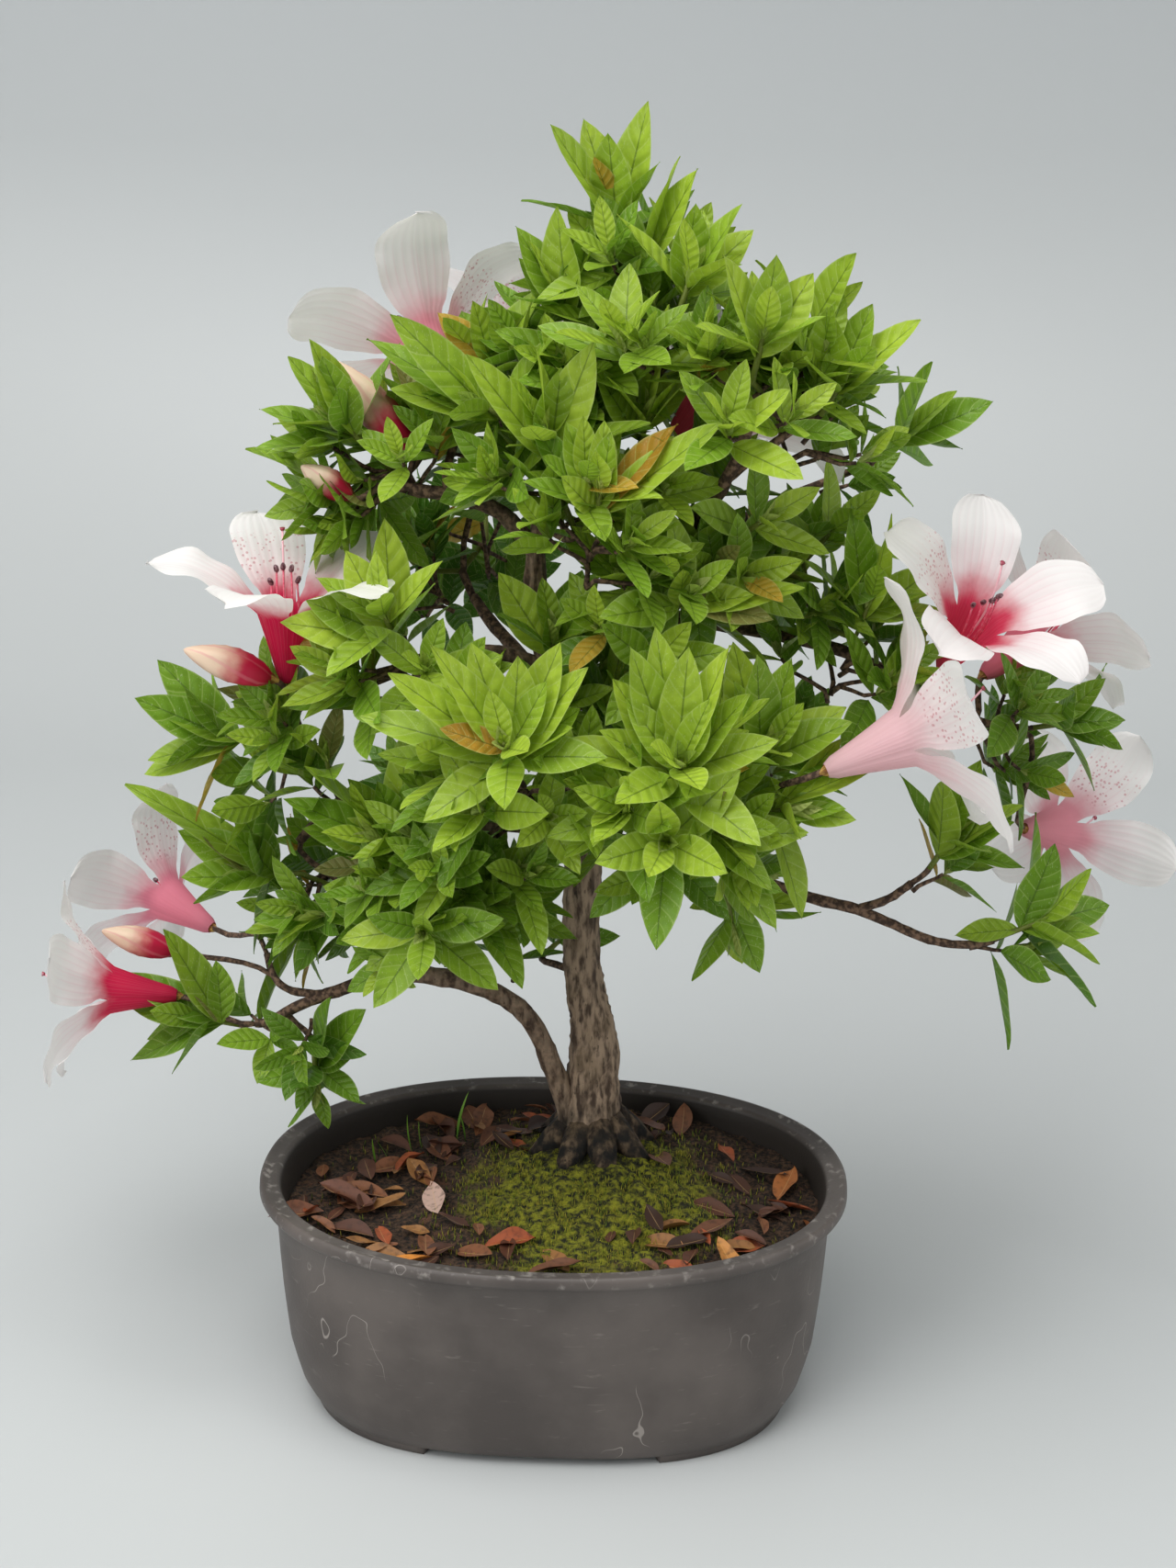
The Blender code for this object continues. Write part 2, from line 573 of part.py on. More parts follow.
def prism(route):
    """A closed three-sided stalk along (place, radius) pairs, for what is too fine for a round one."""
    rings = []
    first = side_axes((route[1][0] - route[0][0]).normalized(), 0)[0]
    for i, (place, radius) in enumerate(route):
        ahead = (route[min(i + 1, len(route) - 1)][0] - route[max(i - 1, 0)][0]).normalized()
        first = (first - ahead * first.dot(ahead)).normalized()
        second = ahead.cross(first)
        rings.append([place + (first * math.cos(t) + second * math.sin(t)) * radius
                      for t in (0, 2 * math.pi / 3, 4 * math.pi / 3)])
    return lofted(rings, "prism")


def bud(base, tip, radius):
    """A pointed closed bud: a turned profile along its own axis."""
    length = (tip - base).length
    profile = ((0, 0.97), (0.22, 0.93), (0.62, 0.72), (1, 0.42), (0.72, 0.14), (0.3, 0.015), (0, 0))
    mesh = bpy.data.meshes.new("bud")
    places = [(radius * MM * across, 0, length * along) for across, along in profile]
    mesh.from_pydata(places, [(i, i + 1) for i in range(len(places) - 1)], [])
    holder = bpy.data.objects.new("bud", mesh)
    bpy.context.scene.collection.objects.link(holder)
    turned = holder.modifiers.new("turn", "SCREW")
    turned.steps = turned.render_steps = 8
    turned.use_merge_vertices = True
    turned.merge_threshold = 0.00005
    mesh = evaluated(holder)
    heading = (tip - base).normalized()
    mesh.transform(Matrix.Translation(base) @ heading.to_track_quat("Z", "Y").to_matrix().to_4x4())
    return mesh


def leaf_template():
    """A leaf blade one long and one thick, as (along, across, depth): a thin sheet made solid."""
    spots = ((0, 0), (0.32, 0.42), (0.32, -0.42), (0.72, 0.40), (0.72, -0.40), (1, 0))
    faces = ((0, 2, 1), (1, 2, 3), (2, 4, 3), (3, 4, 5))
    mesh = bpy.data.meshes.new("leaf")
    mesh.from_pydata([(along, across, 0) for along, across in spots], [], faces)
    holder = bpy.data.objects.new("leaf", mesh)
    bpy.context.scene.collection.objects.link(holder)
    shell = holder.modifiers.new("thickness", "SOLIDIFY")
    shell.thickness = 1
    shell.offset = 0
    return evaluated(holder)


def leaf(root, heading, face, length, curl, thick, tucked=0.0):
    """One blade from its root: folded up along its midrib and curled along its length."""
    across = face.cross(heading).normalized()
    face = heading.cross(across)
    mesh = template.copy()
    width = length * LEAF_WIDTH_SHARE
    for vert in mesh.vertices:
        along, aside, depth = vert.co
        along = tucked + along * (1 - tucked)
        fold = 0.28 * abs(aside) * width
        bend = curl * along * along * length
        place = root + heading * along * length + across * aside * width
        vert.co = place + face * (fold + bend + max(-0.5, min(0.5, depth)) * thick)
    return mesh


def whorl_leaves(rng, base, heading, count, length):
    """Where each leaf of a whorl goes, lowest and widest-spread first: (root, heading, face, length, curl)."""
    up, side = side_axes(heading, rng.uniform(0, 2 * math.pi))
    stalk = (3 + 0.9 * count) * MM
    for i in range(count):
        share = i / max(1, count - 1)
        turn = i * GOLDEN_TURN + rng.uniform(-0.2, 0.2)
        lean = math.radians(76 - 48 * share ** 1.1) + rng.uniform(-0.12, 0.12)
        out = up * math.cos(turn) + side * math.sin(turn)
        way = (heading * math.cos(lean) + out * math.sin(lean)).normalized()
        size = length * MM * (1 - 0.36 * share) * rng.uniform(0.92, 1.06)
        curl = rng.uniform(-0.14, 0.02) + 0.08 * share
        yield base + heading * stalk * share, way, heading, size, curl, out


def crosses(shape, owner, root_free):
    """Whether a blade crosses what is already placed. Its own shoot only counts away from the root."""
    whole, outer = tree_of(shape), tree_of(root_free)
    for other, found in placed:
        if (outer if other == owner else whole).overlap(found):
            return True
    return False


def make_spray(name, whorls, finish, rng):
    """One leafy shoot: a forked green stem, and its whorls of leaves fused to it."""
    tips = []
    for x, z, back, count, length, way in whorls:
        tips.append((seen(x, z, back), Vector(way).normalized(), count, length))
    fork, way = fork_of(tips)
    start = fork + way * GAP
    stems = []
    for base, heading, count, _ in tips:
        top = base + heading * (5 + 0.9 * count) * MM
        if len(tips) == 1:
            stems.append(prism([(start, 1.1 * MM), (base, 1.3 * MM), (top, 0.8 * MM)]))
            continue
        # The first stem holds the foot of the fork, and the others grow out of it.
        foot = start + way * 3 * MM
        knee = base - heading * (base - foot).length * 0.35
        route = [(foot, 1.05 * MM), (knee, 1.1 * MM), (base, 1.3 * MM), (top, 0.8 * MM)]
        stems.append(prism(route if stems else [(start, 1.2 * MM)] + route))
    placed.extend((name, tree_of(stem)) for stem in stems)
    blades = []
    for base, heading, count, length in tips:
        for root, lean, face, size, curl, out in whorl_leaves(rng, base, heading, count, length):
            for bend in (0, -0.2, 0.2, -0.4, 0.4, -0.6):
                tried = (lean + (out * bend if bend else Vector())).normalized()
                guard = leaf(root, tried, face, size, curl, LEAF_THICK + 0.0008)
                free = leaf(root, tried, face, size, curl, LEAF_THICK + 0.0003, 0.3)
                if not crosses(guard, name, free):
                    blade = leaf(root, tried, face, size, curl, LEAF_THICK)
                    blades.append(blade)
                    placed.append((name, tree_of(blade)))
                    break
    add_part(name, joined(stems[0], stems[1:] + blades), finish)


def fork_of(tips):
    """Where a shoot leaves its woody twig, and its heading there: behind the middle of its whorls."""
    middle = sum((base for base, _, _, _ in tips), Vector()) / len(tips)
    way = sum((heading for _, heading, _, _ in tips), Vector()).normalized()
    return middle - way * (7 if len(tips) == 1 else 16) * MM, way


for old in list(bpy.data.objects):
    bpy.data.objects.remove(old)
parts = bpy.data.collections.new("satsuki_azalea_bonsai")
cutters = bpy.data.collections.new("cutters")
for group in (parts, cutters):
    bpy.context.scene.collection.children.link(group)
bonsai = bpy.data.objects.new("bonsai", None)
parts.objects.link(bonsai)

make_pot()
make_soil()

limb_routes = [smooth_route(spots, 1) for spots in LIMBS.values()]
twig_ends = []
for whorls in SPRAYS.values():
    twig_ends.append(fork_of([(seen(x, z, back), Vector(way).normalized(), 0, 0) for x, z, back, _, _, way in whorls]))
bloom_places = {}
for name, (spot, way, roll, flare, size) in BLOOMS.items():
    heading = Vector(way).normalized()
    bloom_places[name] = (seen(*spot), heading, math.radians(roll), flare, size)
    twig_ends.append((seen(*spot) - heading * 2 * GAP - heading * PETAL_THICK, heading))
bud_places = {}
for name, (low, high, radius) in BUDS.items():
    base, tip = seen(*low), seen(*high)
    bud_places[name] = (base, tip, radius)
    twig_ends.append((base - (tip - base).normalized() * GAP, (tip - base).normalized()))
wood = make_wood()

placed = [("trunk", tree_of(wood.data))]
template = leaf_template()
rng = random.Random(SEED)
petal_white = material("petal_blush_white", "f3e6e2", 0.5)
stamen_red = material("stamen_red", "b02846", 0.5)
bud_cream = material("bud_cream_and_crimson", "e3b79a", 0.5)
leaf_green = material("azalea_leaf", "6f9a2c", 0.45)
for name, (base, heading, roll, flare, size) in bloom_places.items():
    shell = corolla(base, heading, roll, flare, size)
    pistil = stamens(base, heading, roll, size, rng)
    placed.append((name, tree_of(shell)))
    placed.append((name, tree_of(pistil)))
    add_part("bloom_" + name, shell, petal_white)
    add_part("stamens_" + name, pistil, stamen_red)
for name, (base, tip, radius) in bud_places.items():
    closed = bud(base, tip, radius)
    placed.append((name, tree_of(closed)))
    add_part("bud_" + name, closed, bud_cream)
for number, (name, whorls) in enumerate(SPRAYS.items()):
    make_spray(name, whorls, leaf_green, random.Random(SEED * 100 + number))

# The origin goes under the middle of everything, on the table.
low = Vector((9, 9))
high = -low
for node in parts.objects:
    if node.type == "MESH":
        for corner in node.bound_box:
            low = Vector((min(low.x, corner[0]), min(low.y, corner[1])))
            high = Vector((max(high.x, corner[0]), max(high.y, corner[1])))
bonsai.location = (-(low.x + high.x) / 2, -(low.y + high.y) / 2, 0)
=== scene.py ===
import math
import random

import bpy
import numpy as np
from mathutils import Matrix, Vector, noise


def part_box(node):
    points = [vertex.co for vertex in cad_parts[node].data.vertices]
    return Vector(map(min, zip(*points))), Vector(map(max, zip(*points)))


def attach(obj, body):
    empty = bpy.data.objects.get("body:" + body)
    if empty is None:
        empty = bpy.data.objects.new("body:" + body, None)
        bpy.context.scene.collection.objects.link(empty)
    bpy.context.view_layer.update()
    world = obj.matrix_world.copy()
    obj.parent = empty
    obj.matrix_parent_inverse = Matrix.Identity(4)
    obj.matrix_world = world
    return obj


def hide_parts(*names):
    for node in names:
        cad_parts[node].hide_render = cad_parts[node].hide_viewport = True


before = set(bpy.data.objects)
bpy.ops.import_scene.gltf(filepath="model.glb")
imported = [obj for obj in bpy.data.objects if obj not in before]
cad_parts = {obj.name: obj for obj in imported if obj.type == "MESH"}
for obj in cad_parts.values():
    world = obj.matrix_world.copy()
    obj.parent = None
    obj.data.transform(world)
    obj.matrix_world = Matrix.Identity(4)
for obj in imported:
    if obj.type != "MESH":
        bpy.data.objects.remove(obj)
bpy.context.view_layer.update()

# Camera: a phone's main lens held at chest height, looking down at the pot on a low table.
# Places are set out from the middle of the pot, as a grower measures a tree from its front.
MM = 0.001
LENS_MM, SENSOR_MM = 54.83, 36
EYE = Vector((0.045, -0.729, 0.463))
PITCH, YAW, ROLL = math.radians(18.8), math.radians(2.7), math.radians(0.5)
pot_low, pot_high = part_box("pot")
SHIFT = Vector(((pot_low[0] + pot_high[0]) / 2, (pot_low[1] + pot_high[1]) / 2, 0))
right = Vector((math.cos(YAW), math.sin(YAW), 0))
ahead = Vector((-math.sin(YAW), math.cos(YAW), 0))
forward = ahead * math.cos(PITCH) - Vector((0, 0, 1)) * math.sin(PITCH)
upward = ahead * math.sin(PITCH) + Vector((0, 0, 1)) * math.cos(PITCH)
image_x = right * math.cos(ROLL) + upward * math.sin(ROLL)
image_y = upward * math.cos(ROLL) - right * math.sin(ROLL)
turn = Matrix((image_x, image_y, -forward)).transposed().to_4x4()
camera_data = bpy.data.cameras.new("camera")
camera_data.lens = LENS_MM
camera_data.sensor_width = SENSOR_MM
camera = bpy.data.objects.new("camera", camera_data)
camera.matrix_world = Matrix.Translation(EYE + SHIFT) @ turn
bpy.context.scene.collection.objects.link(camera)
bpy.context.scene.camera = camera

# Stage: a pale table top that curves up into a grey wall, with no join between them.
# The light is soft: broad from overhead, weaker from the front left and from the right.
STAGE_HALF_WIDTH, CURVE_START, CURVE_RADIUS, CURVE_STEPS = 2.5, 0.65, 0.35, 12
ROOM_LIGHT = 0.5
LAMPS = {  # place, size of the square and watts
    "overhead": ((-0.25, -0.35, 1.5), 1.3, 20),
    "front_left": ((-1.1, -1.2, 0.9), 0.9, 9),
    "right_side": ((1.3, -0.4, 0.8), 0.8, 4),
}
COLOURS = {"data_type": "RGBA"}
EASED = {"interpolation_type": "SMOOTHSTEP"}
CLAMPED_PRODUCT = {"operation": "MULTIPLY", "use_clamp": True}


def linear(hex_colour):
    """An sRGB hex colour as linear light."""
    parts = [int(hex_colour[i:i + 2], 16) / 255 for i in (0, 2, 4)]
    return tuple(c / 12.92 if c <= 0.04045 else ((c + 0.055) / 1.055) ** 2.4 for c in parts)


def add(tree, kind, sockets, **settings):
    """Adds a node. A socket takes a number, a hex colour, an output, or a node, for its first output."""
    made = tree.nodes.new(kind)
    for name, value in settings.items():
        setattr(made, name, value)
    for name, value in sockets.items():
        if isinstance(value, bpy.types.Node):
            value = next(output for output in value.outputs if output.enabled)
        if isinstance(value, bpy.types.NodeSocket):
            tree.links.new(value, made.inputs[name])
        else:
            made.inputs[name].default_value = (*linear(value), 1) if isinstance(value, str) else value
    return made


def new_material(name):
    """A material and its empty node tree."""
    made = bpy.data.materials.new(name)
    made.use_nodes = True
    made.node_tree.nodes.clear()
    return made, made.node_tree


# Painted board: satin, paler on the table and greyer up the wall.
board, tree = new_material("pale_studio_board")
place = add(tree, "ShaderNodeTexCoord", {}).outputs["Object"]
height = add(tree, "ShaderNodeSeparateXYZ", {0: place}).outputs[2]
up_wall = add(tree, "ShaderNodeMapRange", {0: height, 1: 0.02, 2: 1.1}, **EASED)
paint = add(tree, "ShaderNodeMix", {0: up_wall, 6: "c6c9c8", 7: "858b91"}, **COLOURS)
shader = add(tree, "ShaderNodeBsdfPrincipled", {"Base Color": paint, "Roughness": 0.42})
add(tree, "ShaderNodeOutputMaterial", {"Surface": shader})

floor_rows = [(-1.6, 0.0), (-0.4, 0.0), (0.3, 0.0), (CURVE_START, 0.0)]
for i in range(1, CURVE_STEPS + 1):
    bend = i * math.pi / 2 / CURVE_STEPS
    floor_rows.append((CURVE_START + CURVE_RADIUS * math.sin(bend), CURVE_RADIUS * (1 - math.cos(bend))))
floor_rows += [(CURVE_START + CURVE_RADIUS, 0.8), (CURVE_START + CURVE_RADIUS, 2.2)]
mesh = bpy.data.meshes.new("sweep")
spots = [(x, y, z) for y, z in floor_rows for x in (-STAGE_HALF_WIDTH, STAGE_HALF_WIDTH)]
mesh.from_pydata(spots, [], [(2 * i, 2 * i + 1, 2 * i + 3, 2 * i + 2) for i in range(len(floor_rows) - 1)])
mesh.polygons.foreach_set("use_smooth", np.ones(len(mesh.polygons), bool))
mesh.materials.append(board)
sweep = bpy.data.objects.new("sweep", mesh)
sweep.location = (SHIFT.x, SHIFT.y, 0)
bpy.context.scene.collection.objects.link(sweep)

world = bpy.data.worlds.new("room")
world.use_nodes = True
world.node_tree.nodes["Background"].inputs[0].default_value = (*linear("e6e8ea"), 1)
world.node_tree.nodes["Background"].inputs[1].default_value = ROOM_LIGHT
bpy.context.scene.world = world
for name, (spot, size, power) in LAMPS.items():
    light = bpy.data.lights.new(name, "AREA")
    light.size = size
    light.energy = power
    lamp = bpy.data.objects.new(name, light)
    lamp.location = Vector(spot) + SHIFT
    lamp.rotation_euler = (Vector((0, 0, 0.2)) - Vector(spot)).to_track_quat("-Z", "Y").to_euler()
    bpy.context.scene.collection.objects.link(lamp)
bpy.context.scene.view_settings.view_transform = "Standard"

# Pot: an oval training pot, moulded in one shot of grey-brown plastic with a matt skin.
# Its lip is rolled and worn pale where it is handled, and its sides carry fine scratches and scuffs.
# The profile is (inset at the ends, at the sides, height) in mm, from inside, over the lip, to the base.
POT_LENGTH, POT_DEPTH, POT_HEIGHT = 0.200, 0.146, 0.075
POT_SQUARENESS, BASE_SQUARENESS = 2.2, 2.75
POT_PROFILE = (
    (23, 16, 8), (15.5, 11, 18), (11.5, 8.4, 40), (8.7, 7.4, 68), (7.4, 7, 72.6), (6.6, 6.5, 74),
    (5.4, 5.4, 74.6),
    (3.2, 3.2, 74.3), (1.6, 1.6, 75.2), (0.7, 0.7, 75), (0.1, 0.1, 73.9), (0, 0, 72), (0.7, 0.5, 70.9),
    (3.6, 2.4, 70.2), (5.2, 3.4, 69.2), (6.0, 3.7, 60), (6.7, 4, 50), (7.5, 4.5, 40), (8.6, 5.2, 30),
    (9.6, 5.9, 22), (11.3, 6.8, 15.5), (13, 7.6, 10), (14.8, 8.6, 6.8), (16.8, 9.9, 3.4), (17.4, 10.3, 3.0),
)
INSIDE_RINGS, POT_SIDES = 5, 160
LIP_BOTTOM, LIP_WIDTH = 71, 7
FOOT_PROFILE = ((17.4, 10.3, 3.2), (18.2, 10.8, 0.3), (18.8, 11.2, 0), (27, 19.6, 0), (27.5, 20, 3.2))
FOOT_GAP_X, FOOT_GAP_Y = 0.0375, 0.020
PLAIN = (1, 1, 1)


def oval(inset, inset_across, height, turns):
    """The pot's outline that far in from the rim's outer edge, at that height (mm)."""
    power = 2 / (BASE_SQUARENESS + (POT_SQUARENESS - BASE_SQUARENESS) * height * MM / POT_HEIGHT)
    x = (POT_LENGTH / 2 - inset * MM) * np.sign(np.cos(turns)) * np.abs(np.cos(turns)) ** power
    y = (POT_DEPTH / 2 - inset_across * MM) * np.sign(np.sin(turns)) * np.abs(np.sin(turns)) ** power
    return np.stack([x, y, np.full(len(turns), height * MM)], axis=1)


def piece(name, sheets, finish, nodes=()):
    """One shown piece from sheets: (points n x m x 3, mark n x m x 3, tint of 3, whether it closes round)."""
    points, marks, tints, faces, first = [], [], [], [], 0
    for spots, mark, tint, closes in sheets:
        rows, columns = spots.shape[:2]
        index = np.arange(rows * columns).reshape(rows, columns) + first
        if closes:
            index = np.concatenate([index, index[:, :1]], axis=1)
        quads = np.stack([index[:-1, :-1], index[:-1, 1:], index[1:, 1:], index[1:, :-1]], axis=-1)
        faces.append(quads.reshape(-1, 4))
        points.append(spots.reshape(-1, 3))
        marks.append(np.broadcast_to(mark, spots.shape).reshape(-1, 3))
        tints.append(np.broadcast_to(tint, spots.shape).reshape(-1, 3))
        first += rows * columns
    mesh = bpy.data.meshes.new(name)
    points = np.concatenate(points) + np.array(SHIFT)
    mesh.from_pydata(points.tolist(), [], np.concatenate(faces).tolist())
    mesh.polygons.foreach_set("use_smooth", np.ones(len(mesh.polygons), bool))
    for label, values in (("mark", marks), ("tint", tints)):
        colours = np.ones((len(points), 4), np.float32)
        colours[:, :3] = np.concatenate(values)
        mesh.color_attributes.new(label, "FLOAT_COLOR", "POINT").data.foreach_set("color", colours.ravel())
    mesh.materials.append(finish)
    made = bpy.data.objects.new(name, mesh)
    bpy.context.scene.collection.objects.link(made)
    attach(made, "root")
    if nodes:
        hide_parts(*nodes)
    return made


# Polypropylene, moulded: matt, with a 1 mm grain, and with 45 mm clouds and 8 mm streaks where it weathered.
# The lip is rubbed pale in 4 mm patches, and scratches are hair thin. The marks say what is inside and lip; the
# inside and the underside are painted near black as painted shade.
plastic, tree = new_material("moulded_plastic_weathered")
carried = add(tree, "ShaderNodeAttribute", {}, attribute_name="mark")
mark = add(tree, "ShaderNodeSeparateColor", {0: carried}).outputs
place = add(tree, "ShaderNodeTexCoord", {}).outputs["Object"]
cloud = add(tree, "ShaderNodeTexNoise", {"Vector": place, "Scale": 22, "Detail": 5})
clouded = add(tree, "ShaderNodeMapRange", {0: cloud, 1: 0.35, 2: 0.7}, **EASED)
body = add(tree, "ShaderNodeMix", {0: clouded, 6: "48413d", 7: "625a55"}, **COLOURS)
flat_place = add(tree, "ShaderNodeMapping", {"Vector": place, "Scale": (1, 1, 5)})
streak = add(tree, "ShaderNodeTexNoise", {"Vector": flat_place, "Scale": 130, "Detail": 6})
streaked = add(tree, "ShaderNodeMapRange", {0: streak, 1: 0.62, 2: 0.8, 3: 0, 4: 0.35}, **EASED)
body = add(tree, "ShaderNodeMix", {0: streaked, 6: body, 7: "8f8780"}, **COLOURS)
lip = add(tree, "ShaderNodeMapRange", {0: mark[2], 1: 0.2, 2: 0.9}, **EASED)
rub = add(tree, "ShaderNodeTexNoise", {"Vector": place, "Scale": 260, "Detail": 5})
rubbed = add(tree, "ShaderNodeMapRange", {0: rub, 1: 0.55, 2: 0.75, 3: 0, 4: 0.6}, **EASED)
worn = add(tree, "ShaderNodeMath", {0: lip, 1: rubbed}, **CLAMPED_PRODUCT)
body = add(tree, "ShaderNodeMix", {0: worn, 6: body, 7: "aaa39c"}, **COLOURS)
tall_place = add(tree, "ShaderNodeMapping", {"Vector": place, "Scale": (1, 1, 0.7)})
lines = add(tree, "ShaderNodeTexNoise", {"Vector": tall_place, "Scale": 45, "Detail": 2})
off_line = add(tree, "ShaderNodeMath", {0: lines, 1: 0.5}, operation="SUBTRACT")
near_line = add(tree, "ShaderNodeMath", {0: off_line}, operation="ABSOLUTE")
hairline = add(tree, "ShaderNodeMapRange", {0: near_line, 1: 0.0035, 2: 0.0008}, **EASED)
broken = add(tree, "ShaderNodeTexNoise", {"Vector": place, "Scale": 18, "Detail": 2})
stretches = add(tree, "ShaderNodeMapRange", {0: broken, 1: 0.56, 2: 0.62}, **EASED)
scratch = add(tree, "ShaderNodeMath", {0: hairline, 1: stretches}, **CLAMPED_PRODUCT)
scratched = add(tree, "ShaderNodeMath", {0: scratch, 1: 0.55}, **CLAMPED_PRODUCT)
body = add(tree, "ShaderNodeMix", {0: scratched, 6: body, 7: "b4aca4"}, **COLOURS)
# Painted shade: inside the pot and under its floor the plastic is painted near black.
body = add(tree, "ShaderNodeMix", {0: mark[1], 6: body, 7: "2f2a26"}, **COLOURS)
grain = add(tree, "ShaderNodeTexNoise", {"Vector": place, "Scale": 900, "Detail": 3})
skin = add(tree, "ShaderNodeBump", {"Height": grain, "Distance": 0.0002, "Strength": 0.35})
shader = add(tree, "ShaderNodeBsdfPrincipled", {"Base Color": body, "Roughness": 0.5, "Normal": skin})
add(tree, "ShaderNodeOutputMaterial", {"Surface": shader})

turns = np.linspace(0, 2 * math.pi, POT_SIDES + 1)[:-1]
rings, marks = [], []
for number, (inset, across, height) in enumerate(POT_PROFILE):
    rings.append(oval(inset, across, height, turns))
    painted_shade_inside = 1.0 if number < INSIDE_RINGS else 0.0
    on_lip = 1.0 if height > LIP_BOTTOM and inset < LIP_WIDTH else 0.0
    marks.append(np.tile([0, painted_shade_inside, on_lip], (POT_SIDES, 1)))
sheets = [(np.array(rings), np.array(marks), PLAIN, True)]
# The floor, from below and from inside, each closed to a pinhole in the middle; both carry the inside mark and are
# painted near black as painted shade.
pinhole = (0.02, 0.02, 1)
under, over = oval(*POT_PROFILE[-1], turns), oval(*POT_PROFILE[0], turns)
sheets.append((np.array([under, under * pinhole]), (0, 1, 0), PLAIN, True))
sheets.append((np.array([over * pinhole, over]), (0, 1, 0), PLAIN, True))
# The four low feet stand under the wall, with gaps at the front, the back and the ends.
arc = np.linspace(0.30, 1.20, 19)
for side_x in (-1, 1):
    for side_y in (-1, 1):
        foot = np.array([oval(*ring, arc) for ring in FOOT_PROFILE])
        keep = (np.abs(foot[2, :, 0]) > FOOT_GAP_X) & (np.abs(foot[2, :, 1]) > FOOT_GAP_Y)
        foot = foot[:, keep] * (side_x, side_y, 1)
        ends = np.concatenate([foot[:, :1], foot, foot[:, -1:]], axis=1)
        ends[:, 0] = foot[:, 0].mean(axis=0)
        ends[:, -1] = foot[:, -1].mean(axis=0)
        sheets.append((ends, (0, 0, 0), PLAIN, False))
piece("pot_skin", sheets, plastic, ["pot"])

# Soil: fine dark compost pressed in round the roots, mounded at the trunk and level at the pot's wall.
# Where moss has taken, the soil under it is green, and against the trunk it is painted near black as painted shade
# under the crown.
SOIL_LEVEL, MOUND_HEIGHT, MOUND_SPREAD = 0.0625, 0.009, 0.042
SOIL_HALF_LENGTH, SOIL_HALF_DEPTH, SKIRT_LEVEL = 0.088, 0.063, 0.050
TRUNK_FOOT = (0.012, 0.030)
TRUNK_SHADE_SPREAD = 0.030


def soil_top(x, y):
    """The soil's height there, level at the wall and mounded round the trunk."""
    away = math.hypot(x - TRUNK_FOOT[0], y - TRUNK_FOOT[1]) / MOUND_SPREAD
    uneven = 0.0006 * math.sin(x * 210 + 1) * math.cos(y * 260) + 0.0004 * math.sin(x * 470 + y * 390)
    return SOIL_LEVEL + MOUND_HEIGHT * math.exp(-away * away) + uneven


def mossy(x, y):
    """How thick the moss grows there, from 0 to 1: round the trunk and down the front right of the mound."""
    spread = math.hypot((x - 0.014) / 0.046, (y + 0.005) / 0.052)
    ragged = 0.35 * noise.noise(Vector((x, y, 3)) * 90) + 0.2 * noise.noise(Vector((x, y, 5)) * 240)
    return max(0.0, min(1.0, 1.55 - spread * 1.25 + ragged))


# Compost: rough and matt, crumbs of 1 to 2 mm, bits of brown bark 6 mm long, and moss 2 mm fine over it.
compost, tree = new_material("compost_and_moss")
carried = add(tree, "ShaderNodeAttribute", {}, attribute_name="mark")
mark = add(tree, "ShaderNodeSeparateColor", {0: carried}).outputs
place = add(tree, "ShaderNodeTexCoord", {}).outputs["Object"]
grain = add(tree, "ShaderNodeTexNoise", {"Vector": place, "Scale": 700, "Detail": 6})
grained = add(tree, "ShaderNodeMapRange", {0: grain, 1: 0.35, 2: 0.7}, **EASED)
earth = add(tree, "ShaderNodeMix", {0: grained, 6: "1b130d", 7: "5a4230"}, **COLOURS)
bits = add(tree, "ShaderNodeTexNoise", {"Vector": place, "Scale": 160, "Detail": 5})
bitty = add(tree, "ShaderNodeMapRange", {0: bits, 1: 0.58, 2: 0.72, 3: 0, 4: 0.6}, **EASED)
earth = add(tree, "ShaderNodeMix", {0: bitty, 6: earth, 7: "6f4a35"}, **COLOURS)
tufts = add(tree, "ShaderNodeTexNoise", {"Vector": place, "Scale": 420, "Detail": 6})
tufted = add(tree, "ShaderNodeMapRange", {0: tufts, 1: 0.36, 2: 0.66}, **EASED)
green = add(tree, "ShaderNodeMix", {0: tufted, 6: "1d1f08", 7: "8a8a1e"}, **COLOURS)
# Painted shade: round the trunk's foot the moss and soil are painted near black.
trunk_foot_shade = add(tree, "ShaderNodeMapRange", {0: mark[1], 1: 0.3, 2: 1.0, 3: 0, 4: 0.85}, **EASED)
green = add(tree, "ShaderNodeMix", {0: trunk_foot_shade, 6: green, 7: "0d0c08"}, **COLOURS)
grown = add(tree, "ShaderNodeMapRange", {0: mark[0], 1: 0.25, 2: 0.7}, **EASED)
earth = add(tree, "ShaderNodeMix", {0: grown, 6: earth, 7: green}, **COLOURS)
crumbs = add(tree, "ShaderNodeBump", {"Height": grain, "Distance": 0.002, "Strength": 0.9})
shader = add(tree, "ShaderNodeBsdfPrincipled", {"Base Color": earth, "Roughness": 0.92, "Normal": crumbs})
add(tree, "ShaderNodeOutputMaterial", {"Surface": shader})

